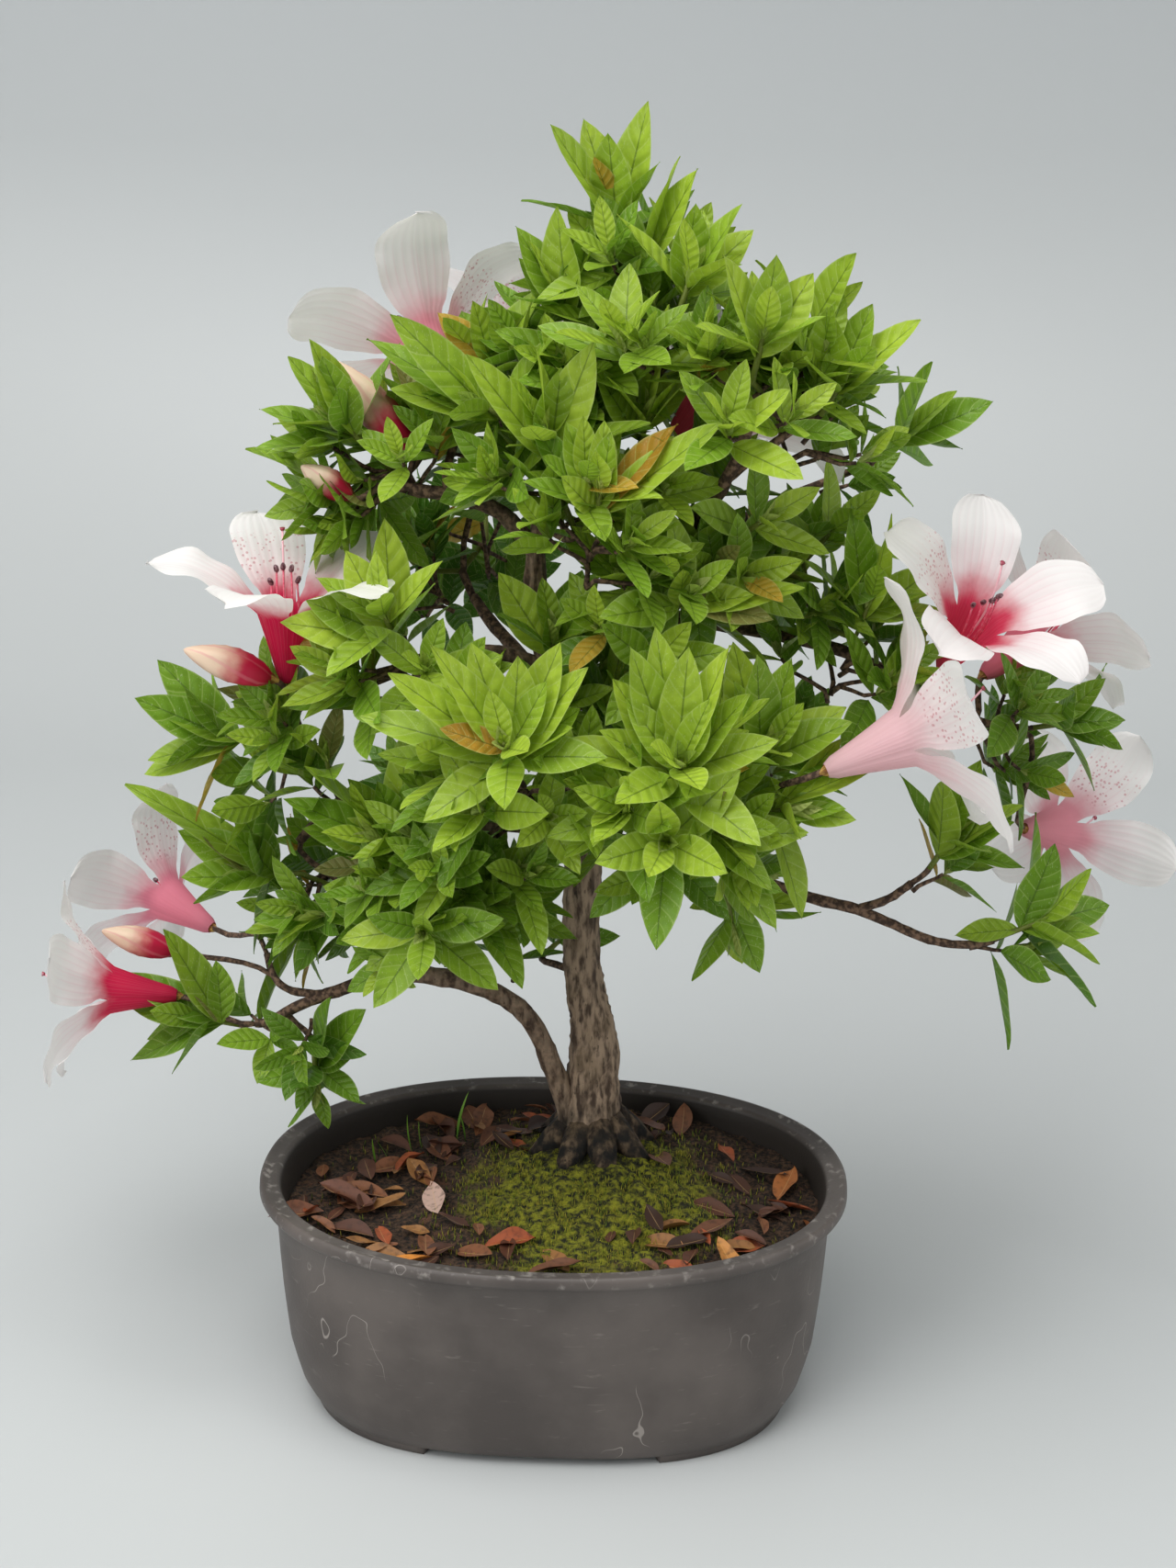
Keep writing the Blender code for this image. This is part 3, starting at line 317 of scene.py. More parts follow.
edge = oval(9.2, 7.55, 62.5, np.linspace(0, 2 * math.pi, 241)[:-1])
rows, marks = [], []
for share in np.linspace(1, 0.05, 70):
    row, row_marks = [], []
    for edge_x, edge_y, _ in edge:
        x = TRUNK_FOOT[0] * (1 - share) + edge_x * share
        y = TRUNK_FOOT[1] * (1 - share) + edge_y * share
        moss = mossy(x, y)
        lumps = 0.0012 * noise.noise(Vector((x, y, 0)) * 120) + 0.0009 * noise.noise(Vector((x, y, 0)) * 420)
        tufts = moss * (0.0014 * noise.noise(Vector((x, y, 7)) * 260) + 0.0012)
        row.append((x, y, soil_top(x, y) + lumps + tufts))
        # Painted shade round the trunk's foot, under the crown: 1 at its middle, 0 at its edge.
        trunk_foot_shade = max(0.0, 1 - math.hypot(x - TRUNK_FOOT[0], y - TRUNK_FOOT[1] + 0.006) / TRUNK_SHADE_SPREAD)
        row_marks.append((moss, trunk_foot_shade, 0))
    rows.append(row)
    marks.append(row_marks)
skirt = edge * (1.0, 1.0, 0) + (0, 0, SKIRT_LEVEL)
rows.insert(0, skirt.tolist())
marks.insert(0, marks[0])
piece("soil_surface", [(np.array(rows), np.array(marks), PLAIN, True)], compost, ["soil"])

# Moss: cushions of upright sprigs, 1 to 3 mm tall, that grow where the soil stays damp.
# They are yellow-green at their tips, and against the trunk they are painted almost black as painted shade.
MOSS_SPRIGS = 5200
# Moss leaf: dull, painted dark at its foot as painted shade, with its own colour at its tip.
sprig, tree = new_material("moss_sprigs")
carried = add(tree, "ShaderNodeAttribute", {}, attribute_name="mark")
mark = add(tree, "ShaderNodeSeparateColor", {0: carried}).outputs
tint = add(tree, "ShaderNodeAttribute", {}, attribute_name="tint")
toward_tip = add(tree, "ShaderNodeMapRange", {0: mark[0], 1: 0.1, 2: 0.9}, **EASED)
# Painted shade: each sprig darkens to near black at its foot.
green = add(tree, "ShaderNodeMix", {0: toward_tip, 6: "17180a", 7: tint}, **COLOURS)
shader = add(tree, "ShaderNodeBsdfPrincipled", {"Base Color": green, "Roughness": 0.8})
add(tree, "ShaderNodeOutputMaterial", {"Surface": shader})

rng = random.Random(3)
foot_and_tip = np.array([[(0, 0, 0)] * 3, [(1, 0, 0)] * 3])
sheets = []
while len(sheets) < MOSS_SPRIGS:
    x, y = rng.uniform(-0.085, 0.085), rng.uniform(-0.062, 0.062)
    moss = mossy(x, y)
    if (x / SOIL_HALF_LENGTH) ** 2 + (y / SOIL_HALF_DEPTH) ** 2 > 1 or rng.random() > moss * 1.1 + 0.03:
        continue
    tall, wide = rng.uniform(0.8, 2.4) * MM, rng.uniform(0.25, 0.5) * MM
    tip = np.array([x + rng.gauss(0, 0.5) * MM, y + rng.gauss(0, 0.5) * MM, soil_top(x, y) + 0.6 * MM + tall])
    turns = rng.uniform(0, 6.28) + np.array([0, 2.1, 4.2])
    below = np.full(3, soil_top(x, y) - 0.5 * MM)
    low = np.stack([x + wide * np.cos(turns), y + wide * np.sin(turns), below], axis=1)
    near_trunk = math.hypot(x - TRUNK_FOOT[0], y - TRUNK_FOOT[1]) < 0.024
    # Sprigs near the trunk take near-black greens, as painted shade at the trunk's foot.
    colour = rng.choice(("3a3c12", "22240c") if near_trunk else ("a6a32a", "8c9a24", "6d8020", "b9ad3a"))
    sheets.append((np.array([low, np.repeat(tip[None], 3, axis=0)]), foot_and_tip, linear(colour), True))
piece("moss", sheets, sprig)

# Litter: the tree's own fallen leaves, dried brown, orange and straw yellow, curled on the compost.
# The first ones lie where the eye catches them, and the rest gather towards the pot's wall.
LITTER = (  # x, y, degrees, length, colour
    (-0.046, -0.049, 25, 0.021, "d98a35"), (-0.028, -0.058, 60, 0.015, "e0a368"),
    (-0.012, -0.062, 5, 0.019, "b9a83c"),
    (-0.086, -0.018, 20, 0.019, "7a4a30"), (-0.070, -0.010, 160, 0.022, "6b3f2b"),
    (0.080, 0.012, 70, 0.020, "b06a34"),
    (0.060, -0.040, 120, 0.018, "c98a45"), (0.088, -0.012, 95, 0.017, "a55f30"),
    (-0.040, -0.006, 100, 0.020, "d2b0a0"),
    (-0.058, 0.018, 40, 0.018, "8a5638"),
)
LITTER_LEAVES = 150
LITTER_BROWNS = ("5a3524", "6f4630", "4a2c1f", "845233", "9a6a3a", "a4522c", "3b2419")
# Dead leaf: papery and dull, blotched dark every 2 mm, with the midrib left pale.
dry_leaf, tree = new_material("dry_leaf")
carried = add(tree, "ShaderNodeAttribute", {}, attribute_name="mark")
mark = add(tree, "ShaderNodeSeparateColor", {0: carried}).outputs
tint = add(tree, "ShaderNodeAttribute", {}, attribute_name="tint")
place = add(tree, "ShaderNodeTexCoord", {}).outputs["Object"]
blotch = add(tree, "ShaderNodeTexNoise", {"Vector": place, "Scale": 500, "Detail": 5})
blotched = add(tree, "ShaderNodeMapRange", {0: blotch, 1: 0.45, 2: 0.75, 3: 0, 4: 0.6}, **EASED)
dry = add(tree, "ShaderNodeMix", {0: blotched, 6: tint, 7: "3a2115"}, **COLOURS)
across_leaf = add(tree, "ShaderNodeMath", {0: mark[1], 1: 0.5}, operation="SUBTRACT")
off_rib = add(tree, "ShaderNodeMath", {0: across_leaf}, operation="ABSOLUTE")
rib = add(tree, "ShaderNodeMapRange", {0: off_rib, 1: 0.03, 2: 0.0, 3: 0, 4: 0.5}, **EASED)
dry = add(tree, "ShaderNodeMix", {0: rib, 6: dry, 7: "d9b27a"}, **COLOURS)
shader = add(tree, "ShaderNodeBsdfPrincipled", {"Base Color": dry, "Roughness": 0.6})
add(tree, "ShaderNodeOutputMaterial", {"Surface": shader})

ALONG = np.linspace(0, 1, 11)
ACROSS = np.linspace(-1, 1, 5)
LEAF_OUTLINE = np.sin(np.pi * ALONG ** 0.92) ** 0.82


def blade(root, heading, face, length, curl, share=0.36, fold=0.28, wave=0.0, phase=0.0):
    """A leaf's sheet and its marks, folded up along the midrib and curled along its length."""
    across = face.cross(heading).normalized()
    face = heading.cross(across)
    half = length * share / 2 * LEAF_OUTLINE
    side = ACROSS[None] * half[:, None]
    lift = fold * np.abs(side) + (curl * ALONG ** 2 * length)[:, None]
    ruffle = np.sin(ALONG * 9 + phase)[:, None] * ACROSS[None] ** 2 * np.sign(ACROSS[None] + 0.01)
    lift = lift + wave * length * ruffle
    along = np.repeat((ALONG * length)[:, None], len(ACROSS), axis=1)
    spots = (np.array(root) + along[..., None] * np.array(heading) + side[..., None] * np.array(across)
             + lift[..., None] * np.array(face))
    marks = np.stack(np.broadcast_arrays(ALONG[:, None], ACROSS[None] * 0.5 + 0.5, 0), axis=-1)
    return spots, marks


rng = random.Random(11)
sheets = []
for i in range(LITTER_LEAVES):
    if i < len(LITTER):
        x, y, degrees, length, colour = LITTER[i]
    else:
        away, turn = rng.uniform(0.35, 0.97) ** 0.7, rng.uniform(0, 2 * math.pi)
        x, y = SOIL_HALF_LENGTH * away * math.cos(turn), SOIL_HALF_DEPTH * away * math.sin(turn)
        degrees, length = rng.uniform(0, 360), rng.uniform(0.008, 0.019)
        colour = rng.choice(LITTER_BROWNS)
        if mossy(x, y) > 0.5 and rng.random() < 0.8:
            continue
    turn = math.radians(degrees)
    way = Vector((math.cos(turn), math.sin(turn), rng.uniform(-0.15, 0.2))).normalized()
    face = Vector((rng.uniform(-0.45, 0.45), rng.uniform(-0.45, 0.45), 1)).normalized()
    root = Vector((x, y, soil_top(x, y) + rng.uniform(1.2, 2.6) * MM)) - way * length / 2
    spots, marks = blade(root, way, face, length, rng.uniform(-0.1, 0.25), 0.4, rng.uniform(0.2, 0.9),
                         rng.uniform(0, 0.04), rng.uniform(0, 6))
    sheets.append((spots, marks, linear(colour), False))
piece("fallen_leaves", sheets, dry_leaf)

# Grass: thin seedlings that blew in, in three tufts at the back left of the soil and one at the front right.
# Each is one upright blade, 7 to 19 mm tall.
SEEDLINGS = (  # x, y, height in mm
    (-0.052, 0.030, 17), (-0.049, 0.032, 13), (-0.037, 0.038, 19), (-0.034, 0.037, 12),
    (-0.064, 0.022, 12), (-0.060, 0.024, 9), (0.036, -0.058, 10), (0.038, -0.057, 7),
)
# Grass leaf: smooth, and paler towards its tip.
grass, tree = new_material("grass_blade")
carried = add(tree, "ShaderNodeAttribute", {}, attribute_name="mark")
mark = add(tree, "ShaderNodeSeparateColor", {0: carried}).outputs
green = add(tree, "ShaderNodeMix", {0: mark[0], 6: "3f6a1e", 7: "7fae35"}, **COLOURS)
shader = add(tree, "ShaderNodeBsdfPrincipled", {"Base Color": green, "Roughness": 0.5})
add(tree, "ShaderNodeOutputMaterial", {"Surface": shader})
sheets = []
for x, y, tall in SEEDLINGS:
    way = Vector((rng.uniform(-0.3, 0.3), rng.uniform(-0.3, 0.3), 1)).normalized()
    face = Vector((rng.uniform(-1, 1), -0.6, 0.1))
    spots, marks = blade(Vector((x, y, soil_top(x, y))), way, face, tall * MM, rng.uniform(-0.3, 0.3), 0.07)
    sheets.append((spots, marks, PLAIN, False))
piece("grass_seedlings", sheets, grass)

# Wood: a slender trunk with flaky, ridged grey-brown bark, a low stem, and limbs that fork to fine twigs.
# It grew as one piece. The limbs are listed from the root up, the trunk first.
# A spot is (x, z, back, radius) in mm on the middle plane, as the viewer's eye sees it.
LIMBS = {
    "trunk": (
        (11.9, 67, 30, 12.8), (11.9, 86, 30, 12.6), (12.2, 96, 30, 10.6), (13, 109, 30, 8.9),
        (13.4, 121, 30, 8.3), (12.4, 132, 30, 7.0), (10.2, 143, 30, 6.3), (8.8, 158, 30, 6.1),
        (8.9, 178, 29, 6.0), (9.6, 196, 28, 6.3), (8.6, 212, 28, 5.1), (5, 232, 26, 4.5),
        (-1, 252, 24, 4.0), (-6, 274, 21, 3.5), (-6, 294, 20, 3.0), (-1, 314, 21, 2.6), (6, 334, 22, 2.2),
        (12, 354, 23, 1.9), (15, 370, 25, 1.7),
    ),
    "low_stem": (
        (8, 84, 28, 4.6), (3.5, 102, 26, 3.7), (-1, 115, 24, 3.3), (-6, 127, 22, 3.2), (-14, 137, 20, 3.2),
        (-28, 143.5, 18, 3.2), (-43, 146, 16, 3.2), (-55, 146, 14, 2.6), (-70, 140.5, 13, 2.1),
        (-85, 134, 12, 1.8), (-96, 127.5, 12, 1.5), (-101, 126.5, 11, 1.3),
    ),
    "low_stem_twig": ((-76, 138, 13, 1.5), (-88, 139, 14, 1.3), (-94, 144, 17, 1.2), (-96, 152, 24, 1.2)),
    "left_limb": (
        (7, 196, 28, 4.2), (-6, 200, 24, 3.8), (-20, 201, 18, 3.3), (-34, 199, 10, 2.7),
        (-44, 193, 3, 2.1),
    ),
    "left_back_limb": (
        (-17, 201, 20, 3.0), (-38, 207, 27, 2.5), (-58, 206, 31, 2.2), (-76, 200, 29, 1.9),
        (-84, 192, 26, 1.6),
    ),
    "left_middle_limb": (
        (0, 250, 24, 3.4), (-15, 257, 18, 2.9), (-31, 257, 12, 2.5), (-45, 254, 7, 2.2),
        (-62, 246, 8, 1.9), (-79, 240, 9, 1.6), (-90, 233, 12, 1.4),
    ),
    "left_upper_limb": (
        (-6, 290, 20, 3.0), (-17, 303, 18, 2.6), (-31, 308, 16, 2.3), (-45, 310, 18, 2.0),
        (-50, 312, 19, 1.7),
    ),
    "right_limb": (
        (6, 190, 25, 4.0), (13, 190.5, 19, 3.8), (23, 194, 16, 3.5), (36, 196.5, 13, 3.1),
        (48, 198, 8, 2.6), (56, 202, 0, 2.1), (58, 206, -4, 1.8),
    ),
    "right_long_limb": (
        (33, 195, 14, 2.5), (50, 190.5, 16, 2.4), (64, 184.5, 18, 2.2), (76, 179.5, 20, 2.0),
        (88, 176, 22, 1.9), (99, 173.5, 22, 1.8), (111, 168.5, 22, 1.6), (123, 163.5, 21, 1.5),
        (135, 162, 20, 1.4), (144, 164, 20, 1.3),
    ),
    "right_long_twig": ((99, 173.5, 22, 1.5), (109, 177.5, 20, 1.4), (116, 183, 18, 1.3)),
    "right_upper_limb": (
        (6, 224, 26, 4.0), (14, 243, 28, 3.6), (20, 261, 27, 3.2), (30, 280, 20, 2.9), (42, 298, 10, 2.5),
        (51, 312, 0, 2.2), (57, 325, -8, 1.8), (60, 337, -13, 1.5),
    ),
    "right_upper_twig": ((53, 315, -2, 1.5), (65, 325, -4, 1.3), (76, 333, -2, 1.2)),
    "right_far_twig": (
        (34, 286, 17, 1.8), (50, 298, 44, 1.6), (70, 309, 68, 1.4), (86, 316, 72, 1.2), (97, 321, 63, 1.1),
    ),
    "right_middle_limb": (
        (21, 264, 28, 2.8), (38, 270, 26, 2.5), (56, 268, 26, 2.3), (74, 265, 25, 2.1), (90, 261, 25, 1.9),
        (106, 254, 28, 1.7), (122, 245, 36, 1.5), (137, 238, 44, 1.3), (147, 237, 48, 1.2),
    ),
    "back_left_limb": ((3, 237, 26, 3.2), (-6, 251, 50, 2.6), (-19, 266, 72, 2.0), (-26, 276, 82, 1.6)),
    "back_right_limb": ((6, 229, 27, 3.1), (20, 245, 54, 2.5), (42, 266, 80, 2.0), (52, 282, 92, 1.6)),
    "back_low_left_limb": ((8, 199, 28, 3.4), (-8, 209, 58, 2.6), (-34, 213, 84, 1.8)),
    "back_low_right_limb": ((9, 203, 28, 3.4), (30, 212, 58, 2.5), (62, 223, 78, 1.8)),
}
# A cut-off branch on the right limb, from the limb to its sawn face.
STUB = ((22.4, 193, 13, 3.2), (23.6, 189.5, 3, 3.1))

# Leafy shoots. Each spray is one forked shoot of whorls: (x, z, back, leaves, leaf length mm, heading).
SPRAYS = {
    "shoot_apex": (
        (18, 388, 30, 5, 33, (-0.15, 0.0, 1)), (25, 376, 40, 5, 32, (0.2, 0.35, 1)),
        (38, 369, 2, 5, 33, (0.3, -0.1, 1)),
    ),
    "shoot_crown_left": (
        (3, 362, 22, 5, 32, (-0.15, -0.2, 1)), (-22, 346, 36, 5, 30, (-0.35, 0.0, 1)),
        (-17, 333, 10, 4, 33, (-0.9, -0.35, 0.6)),
    ),
    "shoot_crown_front": ((-2, 321, -6, 5, 34, (-0.15, -0.3, 1)), (13, 304, -22, 5, 30, (0.15, -0.4, 1))),
    "shoot_crown_right": ((26, 326, 4, 5, 34, (0.25, -0.25, 1)),),
    "shoot_upper_right": ((61, 352, -16, 5, 30, (0.2, -0.25, 1)), (76, 358, 14, 4, 30, (0.35, 0.25, 1))),
    "shoot_outer_right": ((84, 341, -2, 6, 30, (0.5, -0.15, 0.9)),),
    "shoot_far_right": ((103, 326, 57, 4, 29, (0.8, 0.0, 0.55)),),
    "shoot_upper_left": (
        (-62, 326, 16, 6, 32, (-0.75, -0.25, 0.7)), (-68, 312, 34, 4, 30, (-0.7, 0.3, -0.2)),
    ),
    "shoot_left_front": ((-52, 264, -12, 6, 33, (-0.3, -0.45, 0.9)),),
    "shoot_centre": ((-1, 256, 4, 5, 34, (0.05, -0.35, 1)),),
    "shoot_front_left": ((-14, 222, -42, 8, 34, (-0.15, -0.75, 0.7)),),
    "shoot_front_right": ((39, 217, -42, 8, 38, (0.12, -0.75, 0.75)),),
    "shoot_front_low": ((27, 203, -14, 4, 31, (-0.25, -0.8, 0.6)),),
    "shoot_low_left": (
        (-27, 202, -22, 4, 29, (0.0, -0.5, 0.8)), (-51, 191, -10, 6, 34, (-0.6, -0.5, 0.5)),
    ),
    "shoot_low_hanging": (
        (-32, 174, -14, 5, 32, (0.15, -0.6, 0.7)), (-42, 163, -30, 5, 30, (-0.05, -0.95, 0.2)),
    ),
    "shoot_left_back": (
        (-93, 181, 20, 5, 33, (-0.9, -0.25, 0.1)), (-72, 167, 4, 4, 28, (-0.75, -0.5, 0.15)),
    ),
    "shoot_left_side": ((-103, 227, 15, 6, 32, (-0.95, -0.15, 0.1)),),
    "shoot_left_bright": ((-73, 216, -2, 4, 27, (-0.15, -0.4, 1)),),
    "shoot_right_middle": (
        (39, 275, -14, 5, 33, (0.35, -0.6, 0.6)), (60, 299, 2, 5, 30, (0.5, -0.5, 0.5)),
    ),
    "shoot_right_low": (
        (65, 223, -20, 5, 32, (0.35, -0.5, 0.8)), (69, 207, -26, 4, 34, (0.75, -0.5, 0.2)),
    ),
    "shoot_right_side": (
        (96, 270, 12, 5, 32, (0.3, -0.15, 0.9)), (82, 295, 24, 5, 30, (0.45, -0.15, 0.6)),
    ),
    "shoot_right_back": ((158, 238, 52, 5, 31, (0.9, 0.0, 0.15)),),
    "shoot_right_twig": ((125, 194, 14, 5, 31, (0.5, -0.15, 0.9)),),
    "shoot_right_tip": ((152, 168, 19, 5, 42, (0.9, -0.1, 0.45)),),
    "shoot_right_hanging": ((57, 174, 12, 3, 33, (0.2, -0.2, -1)),),
    "shoot_low_tip": ((-81, 112, 10, 5, 27, (0.1, -0.35, -1)),),
    "shoot_low_left_tip": ((-113, 127, 10, 6, 32, (-0.9, -0.2, 0.25)),),
    "shoot_behind_trunk": ((0, 158, 64, 4, 28, (0.4, 0.8, 0.1)),),
    "shoot_back_upper": ((-2, 338, 78, 4, 32, (-0.2, 0.6, 0.8)), (34, 345, 84, 4, 32, (0.3, 0.6, 0.8))),
    "shoot_back_left": (
        (-46, 288, 96, 4, 32, (-0.6, 0.6, 0.5)), (-22, 300, 112, 4, 32, (-0.1, 0.9, 0.5)),
    ),
    "shoot_back_right": ((58, 286, 104, 4, 32, (0.5, 0.7, 0.5)),),
    "shoot_back_low_left": ((-46, 212, 96, 4, 32, (-0.6, 0.7, 0.2)),),
    "shoot_back_low_right": ((74, 226, 88, 4, 32, (0.6, 0.7, 0.3)),),
}

# Blooms: (x, z, back) where the flower stalk ends, heading, roll and flare in degrees, size.
BLOOMS = {
    "upper_left": ((-30, 338, 35), (-0.49, 0.63, 0.59), 58, 57, 1.03),
    "upper_left_back": ((-16, 335, 96), (0.2, 0.45, 0.88), 20, 50, 0.95),
    "upper_right": ((31, 319, 36), (0.62, 0.45, 0.6), 5, 57, 1.08),
    "left": ((-86, 247, 5), (0.02, -0.11, 0.99), 11, 51, 1.0),
    "right": ((122, 256, 22), (0.33, -0.53, 0.78), 49, 49, 0.97),
    "right_back": ((135, 254, 50), (0.75, 0.4, 0.5), 30, 55, 0.95),
    "right_front": ((87, 221, -32), (0.91, 0.19, 0.37), 62, 57, 1.08),
    "far_right": ((151, 203, 65), (0.61, 0.72, -0.25), 24, 55, 0.96),
    "far_left": ((-114, 161, 66), (-0.83, 0.48, 0.29), 4, 60, 0.95),
    "low_left": ((-127, 136, 8), (-0.97, -0.1, 0.1), 20, 48, 0.9),
}

# Flower buds: (x, z, back) of the base and of the tip, and the radius in mm.
BUDS = {
    "upper_left": ((-43, 321, 26), (-71, 351, 22), 6.2),
    "upper_left_low": ((-64, 307, 12), (-80, 317, 8), 4.6),
    "left": ((-91, 247.5, -2), (-120, 257, -8), 5.6),
    "low_left": ((-127, 152, 22), (-152, 159, 18), 5.0),
}


def seen(x, z, back):
    """The point that hides the middle plane's (x, z) from the eye, that many millimetres behind the plane."""
    on_plane = Vector((x, 0, z)) * MM
    return EYE + (on_plane - EYE) * (1 - back * MM / EYE.y)


def seen_size(length, back):
    """A length in mm measured on the middle plane, as it is that far behind it."""
    return length * MM * (1 - back * MM / EYE.y)


def smooth_route(spots, steps):
    """A smooth curve of (place, radius) through a limb's own spots."""
    route = [(seen(x, z, back), seen_size(radius, back)) for x, z, back, radius in spots]
    ends = [route[0]] + route + [route[-1]]
    found = []
    for (a, _), (b, rb), (c, rc), (d, _) in zip(ends, ends[1:], ends[2:], ends[3:]):
        for i in range(steps):
            t = i / steps
            cubic = (3 * b - 3 * c + d - a) * t ** 3
            found.append((0.5 * (2 * b + (c - a) * t + (2 * a - 5 * b + 4 * c - d) * t ** 2 + cubic),
                          rb + (rc - rb) * t))
    found.append(route[-1])
    return found


def side_axes(heading, roll):
    """Two axes square to the heading: the first as near straight up as it can be, turned by the roll."""
    up = Vector((0, 0, 1)) if abs(heading.z) < 0.999 else Vector((0, 1, 0))
    first = (up - heading * up.dot(heading)).normalized()
    second = heading.cross(first)
    return first * math.cos(roll) + second * math.sin(roll), second * math.cos(roll) - first * math.sin(roll)


def stalk(route, sides, rough=0.0, tint=(1, 1, 1)):
    """A closed round sheet along (place, radius) pairs, its surface lifted into bark ridges."""
    rings, marks = [], []
    first = side_axes((route[1][0] - route[0][0]).normalized(), 0)[0]
    route = [(route[0][0], 0.00001)] + list(route) + [(route[-1][0], 0.00001)]
    for i, (place, radius) in enumerate(route):
        way = (route[min(i + 1, len(route) - 1)][0] - route[max(i - 1, 0)][0]).normalized()
        first = (first - way * first.dot(way)).normalized()
        second = way.cross(first)
        ring = []
        for k in range(sides):
            turn = 2 * math.pi * k / sides
            out = first * math.cos(turn) + second * math.sin(turn)
            spot = place + out * radius
            if rough:
                ridge = noise.noise(Vector((spot.x * 420, spot.y * 420, spot.z * 110)))
                flake = noise.noise(spot * 900)
                spot = spot + out * min(radius * 0.22, rough) * (ridge + 0.5 * flake)
            ring.append(spot)
        rings.append(ring)
        marks.append([(radius / 0.013, k / sides, i / len(route)) for k in range(sides)])
    return np.array(rings), np.array(marks), tint, True


# Bark: dead and matt, in flakes 2 mm wide and 8 mm tall with 1 mm cracks. It is browner on twigs, and painted
# near black at the foot as painted shade under the crown. The first mark is the radius, which tells the trunk from
# a twig.
bark, tree = new_material("azalea_bark_flaky")
carried = add(tree, "ShaderNodeAttribute", {}, attribute_name="mark")
mark = add(tree, "ShaderNodeSeparateColor", {0: carried}).outputs
tint = add(tree, "ShaderNodeAttribute", {}, attribute_name="tint")
place = add(tree, "ShaderNodeTexCoord", {}).outputs["Object"]
flake_place = add(tree, "ShaderNodeMapping", {"Vector": place, "Scale": (1, 1, 0.28)})
flakes = add(tree, "ShaderNodeTexNoise", {"Vector": flake_place, "Scale": 420, "Detail": 7})
flaked = add(tree, "ShaderNodeMapRange", {0: flakes, 1: 0.36, 2: 0.62}, **EASED)
wood = add(tree, "ShaderNodeMix", {0: flaked, 6: "4a3a2e", 7: "a8917a"}, **COLOURS)
patches = add(tree, "ShaderNodeTexNoise", {"Vector": place, "Scale": 90, "Detail": 3})
patched = add(tree, "ShaderNodeMapRange", {0: patches, 1: 0.5, 2: 0.72, 3: 0, 4: 0.5}, **EASED)
wood = add(tree, "ShaderNodeMix", {0: patched, 6: wood, 7: "7d6a52"}, **COLOURS)
crack_place = add(tree, "ShaderNodeMapping", {"Vector": place, "Scale": (1, 1, 0.3)})
cracks = add(tree, "ShaderNodeTexNoise", {"Vector": crack_place, "Scale": 900, "Detail": 5})
cracked = add(tree, "ShaderNodeMapRange", {0: cracks, 1: 0.60, 2: 0.72, 3: 0, 4: 0.8}, **EASED)
wood = add(tree, "ShaderNodeMix", {0: cracked, 6: wood, 7: "2c221b"}, **COLOURS)
twig_grain = add(tree, "ShaderNodeTexNoise", {"Vector": place, "Scale": 600, "Detail": 4})
twig_grained = add(tree, "ShaderNodeMapRange", {0: twig_grain, 1: 0.4, 2: 0.65}, **EASED)
twig_bark = add(tree, "ShaderNodeMix", {0: twig_grained, 6: "3d2c22", 7: "7f6450"}, **COLOURS)
thick = add(tree, "ShaderNodeMapRange", {0: mark[0], 1: 0.16, 2: 0.34}, **EASED)
wood = add(tree, "ShaderNodeMix", {0: thick, 6: twig_bark, 7: wood}, **COLOURS)
height = add(tree, "ShaderNodeSeparateXYZ", {0: place}).outputs[2]
# Painted shade: near the soil the trunk is painted near black in ragged patches.
near_soil = add(tree, "ShaderNodeMapRange", {0: height, 1: 0.094, 2: 0.076}, **EASED)
shade_noise = add(tree, "ShaderNodeTexNoise", {"Vector": place, "Scale": 200, "Detail": 4})
shade_edge = add(tree, "ShaderNodeMapRange", {0: shade_noise, 1: 0.3, 2: 0.6}, **EASED)
trunk_foot_shade = add(tree, "ShaderNodeMath", {0: near_soil, 1: shade_edge}, **CLAMPED_PRODUCT)
wood = add(tree, "ShaderNodeMix", {0: trunk_foot_shade, 6: wood, 7: "0f0d0a"}, **COLOURS)
wood = add(tree, "ShaderNodeMix", {0: 1.0, 6: wood, 7: tint}, data_type="RGBA", blend_type="MULTIPLY")
ridges = add(tree, "ShaderNodeBump", {"Height": flakes, "Distance": 0.0012, "Strength": 0.9})
shader = add(tree, "ShaderNodeBsdfPrincipled", {"Base Color": wood, "Roughness": 0.85, "Normal": ridges})
add(tree, "ShaderNodeOutputMaterial", {"Surface": shader})

TRUNK_SIDES, LIMB_SIDES, ROOT_SIDES, TWIG_SIDES = 40, 14, 12, 8
TRUNK_STEPS, LIMB_STEPS = 9, 5
STEM_ROUGH, LIMB_ROUGH, ROOT_ROUGH, TWIG_ROUGH = 0.0011, 0.0005, 0.0008, 0.0003
TWIG_RADIUS, SINGLE_STEM, FORKED_STEM = 1.05 * MM, 7 * MM, 16 * MM
SURFACE_ROOTS = 8

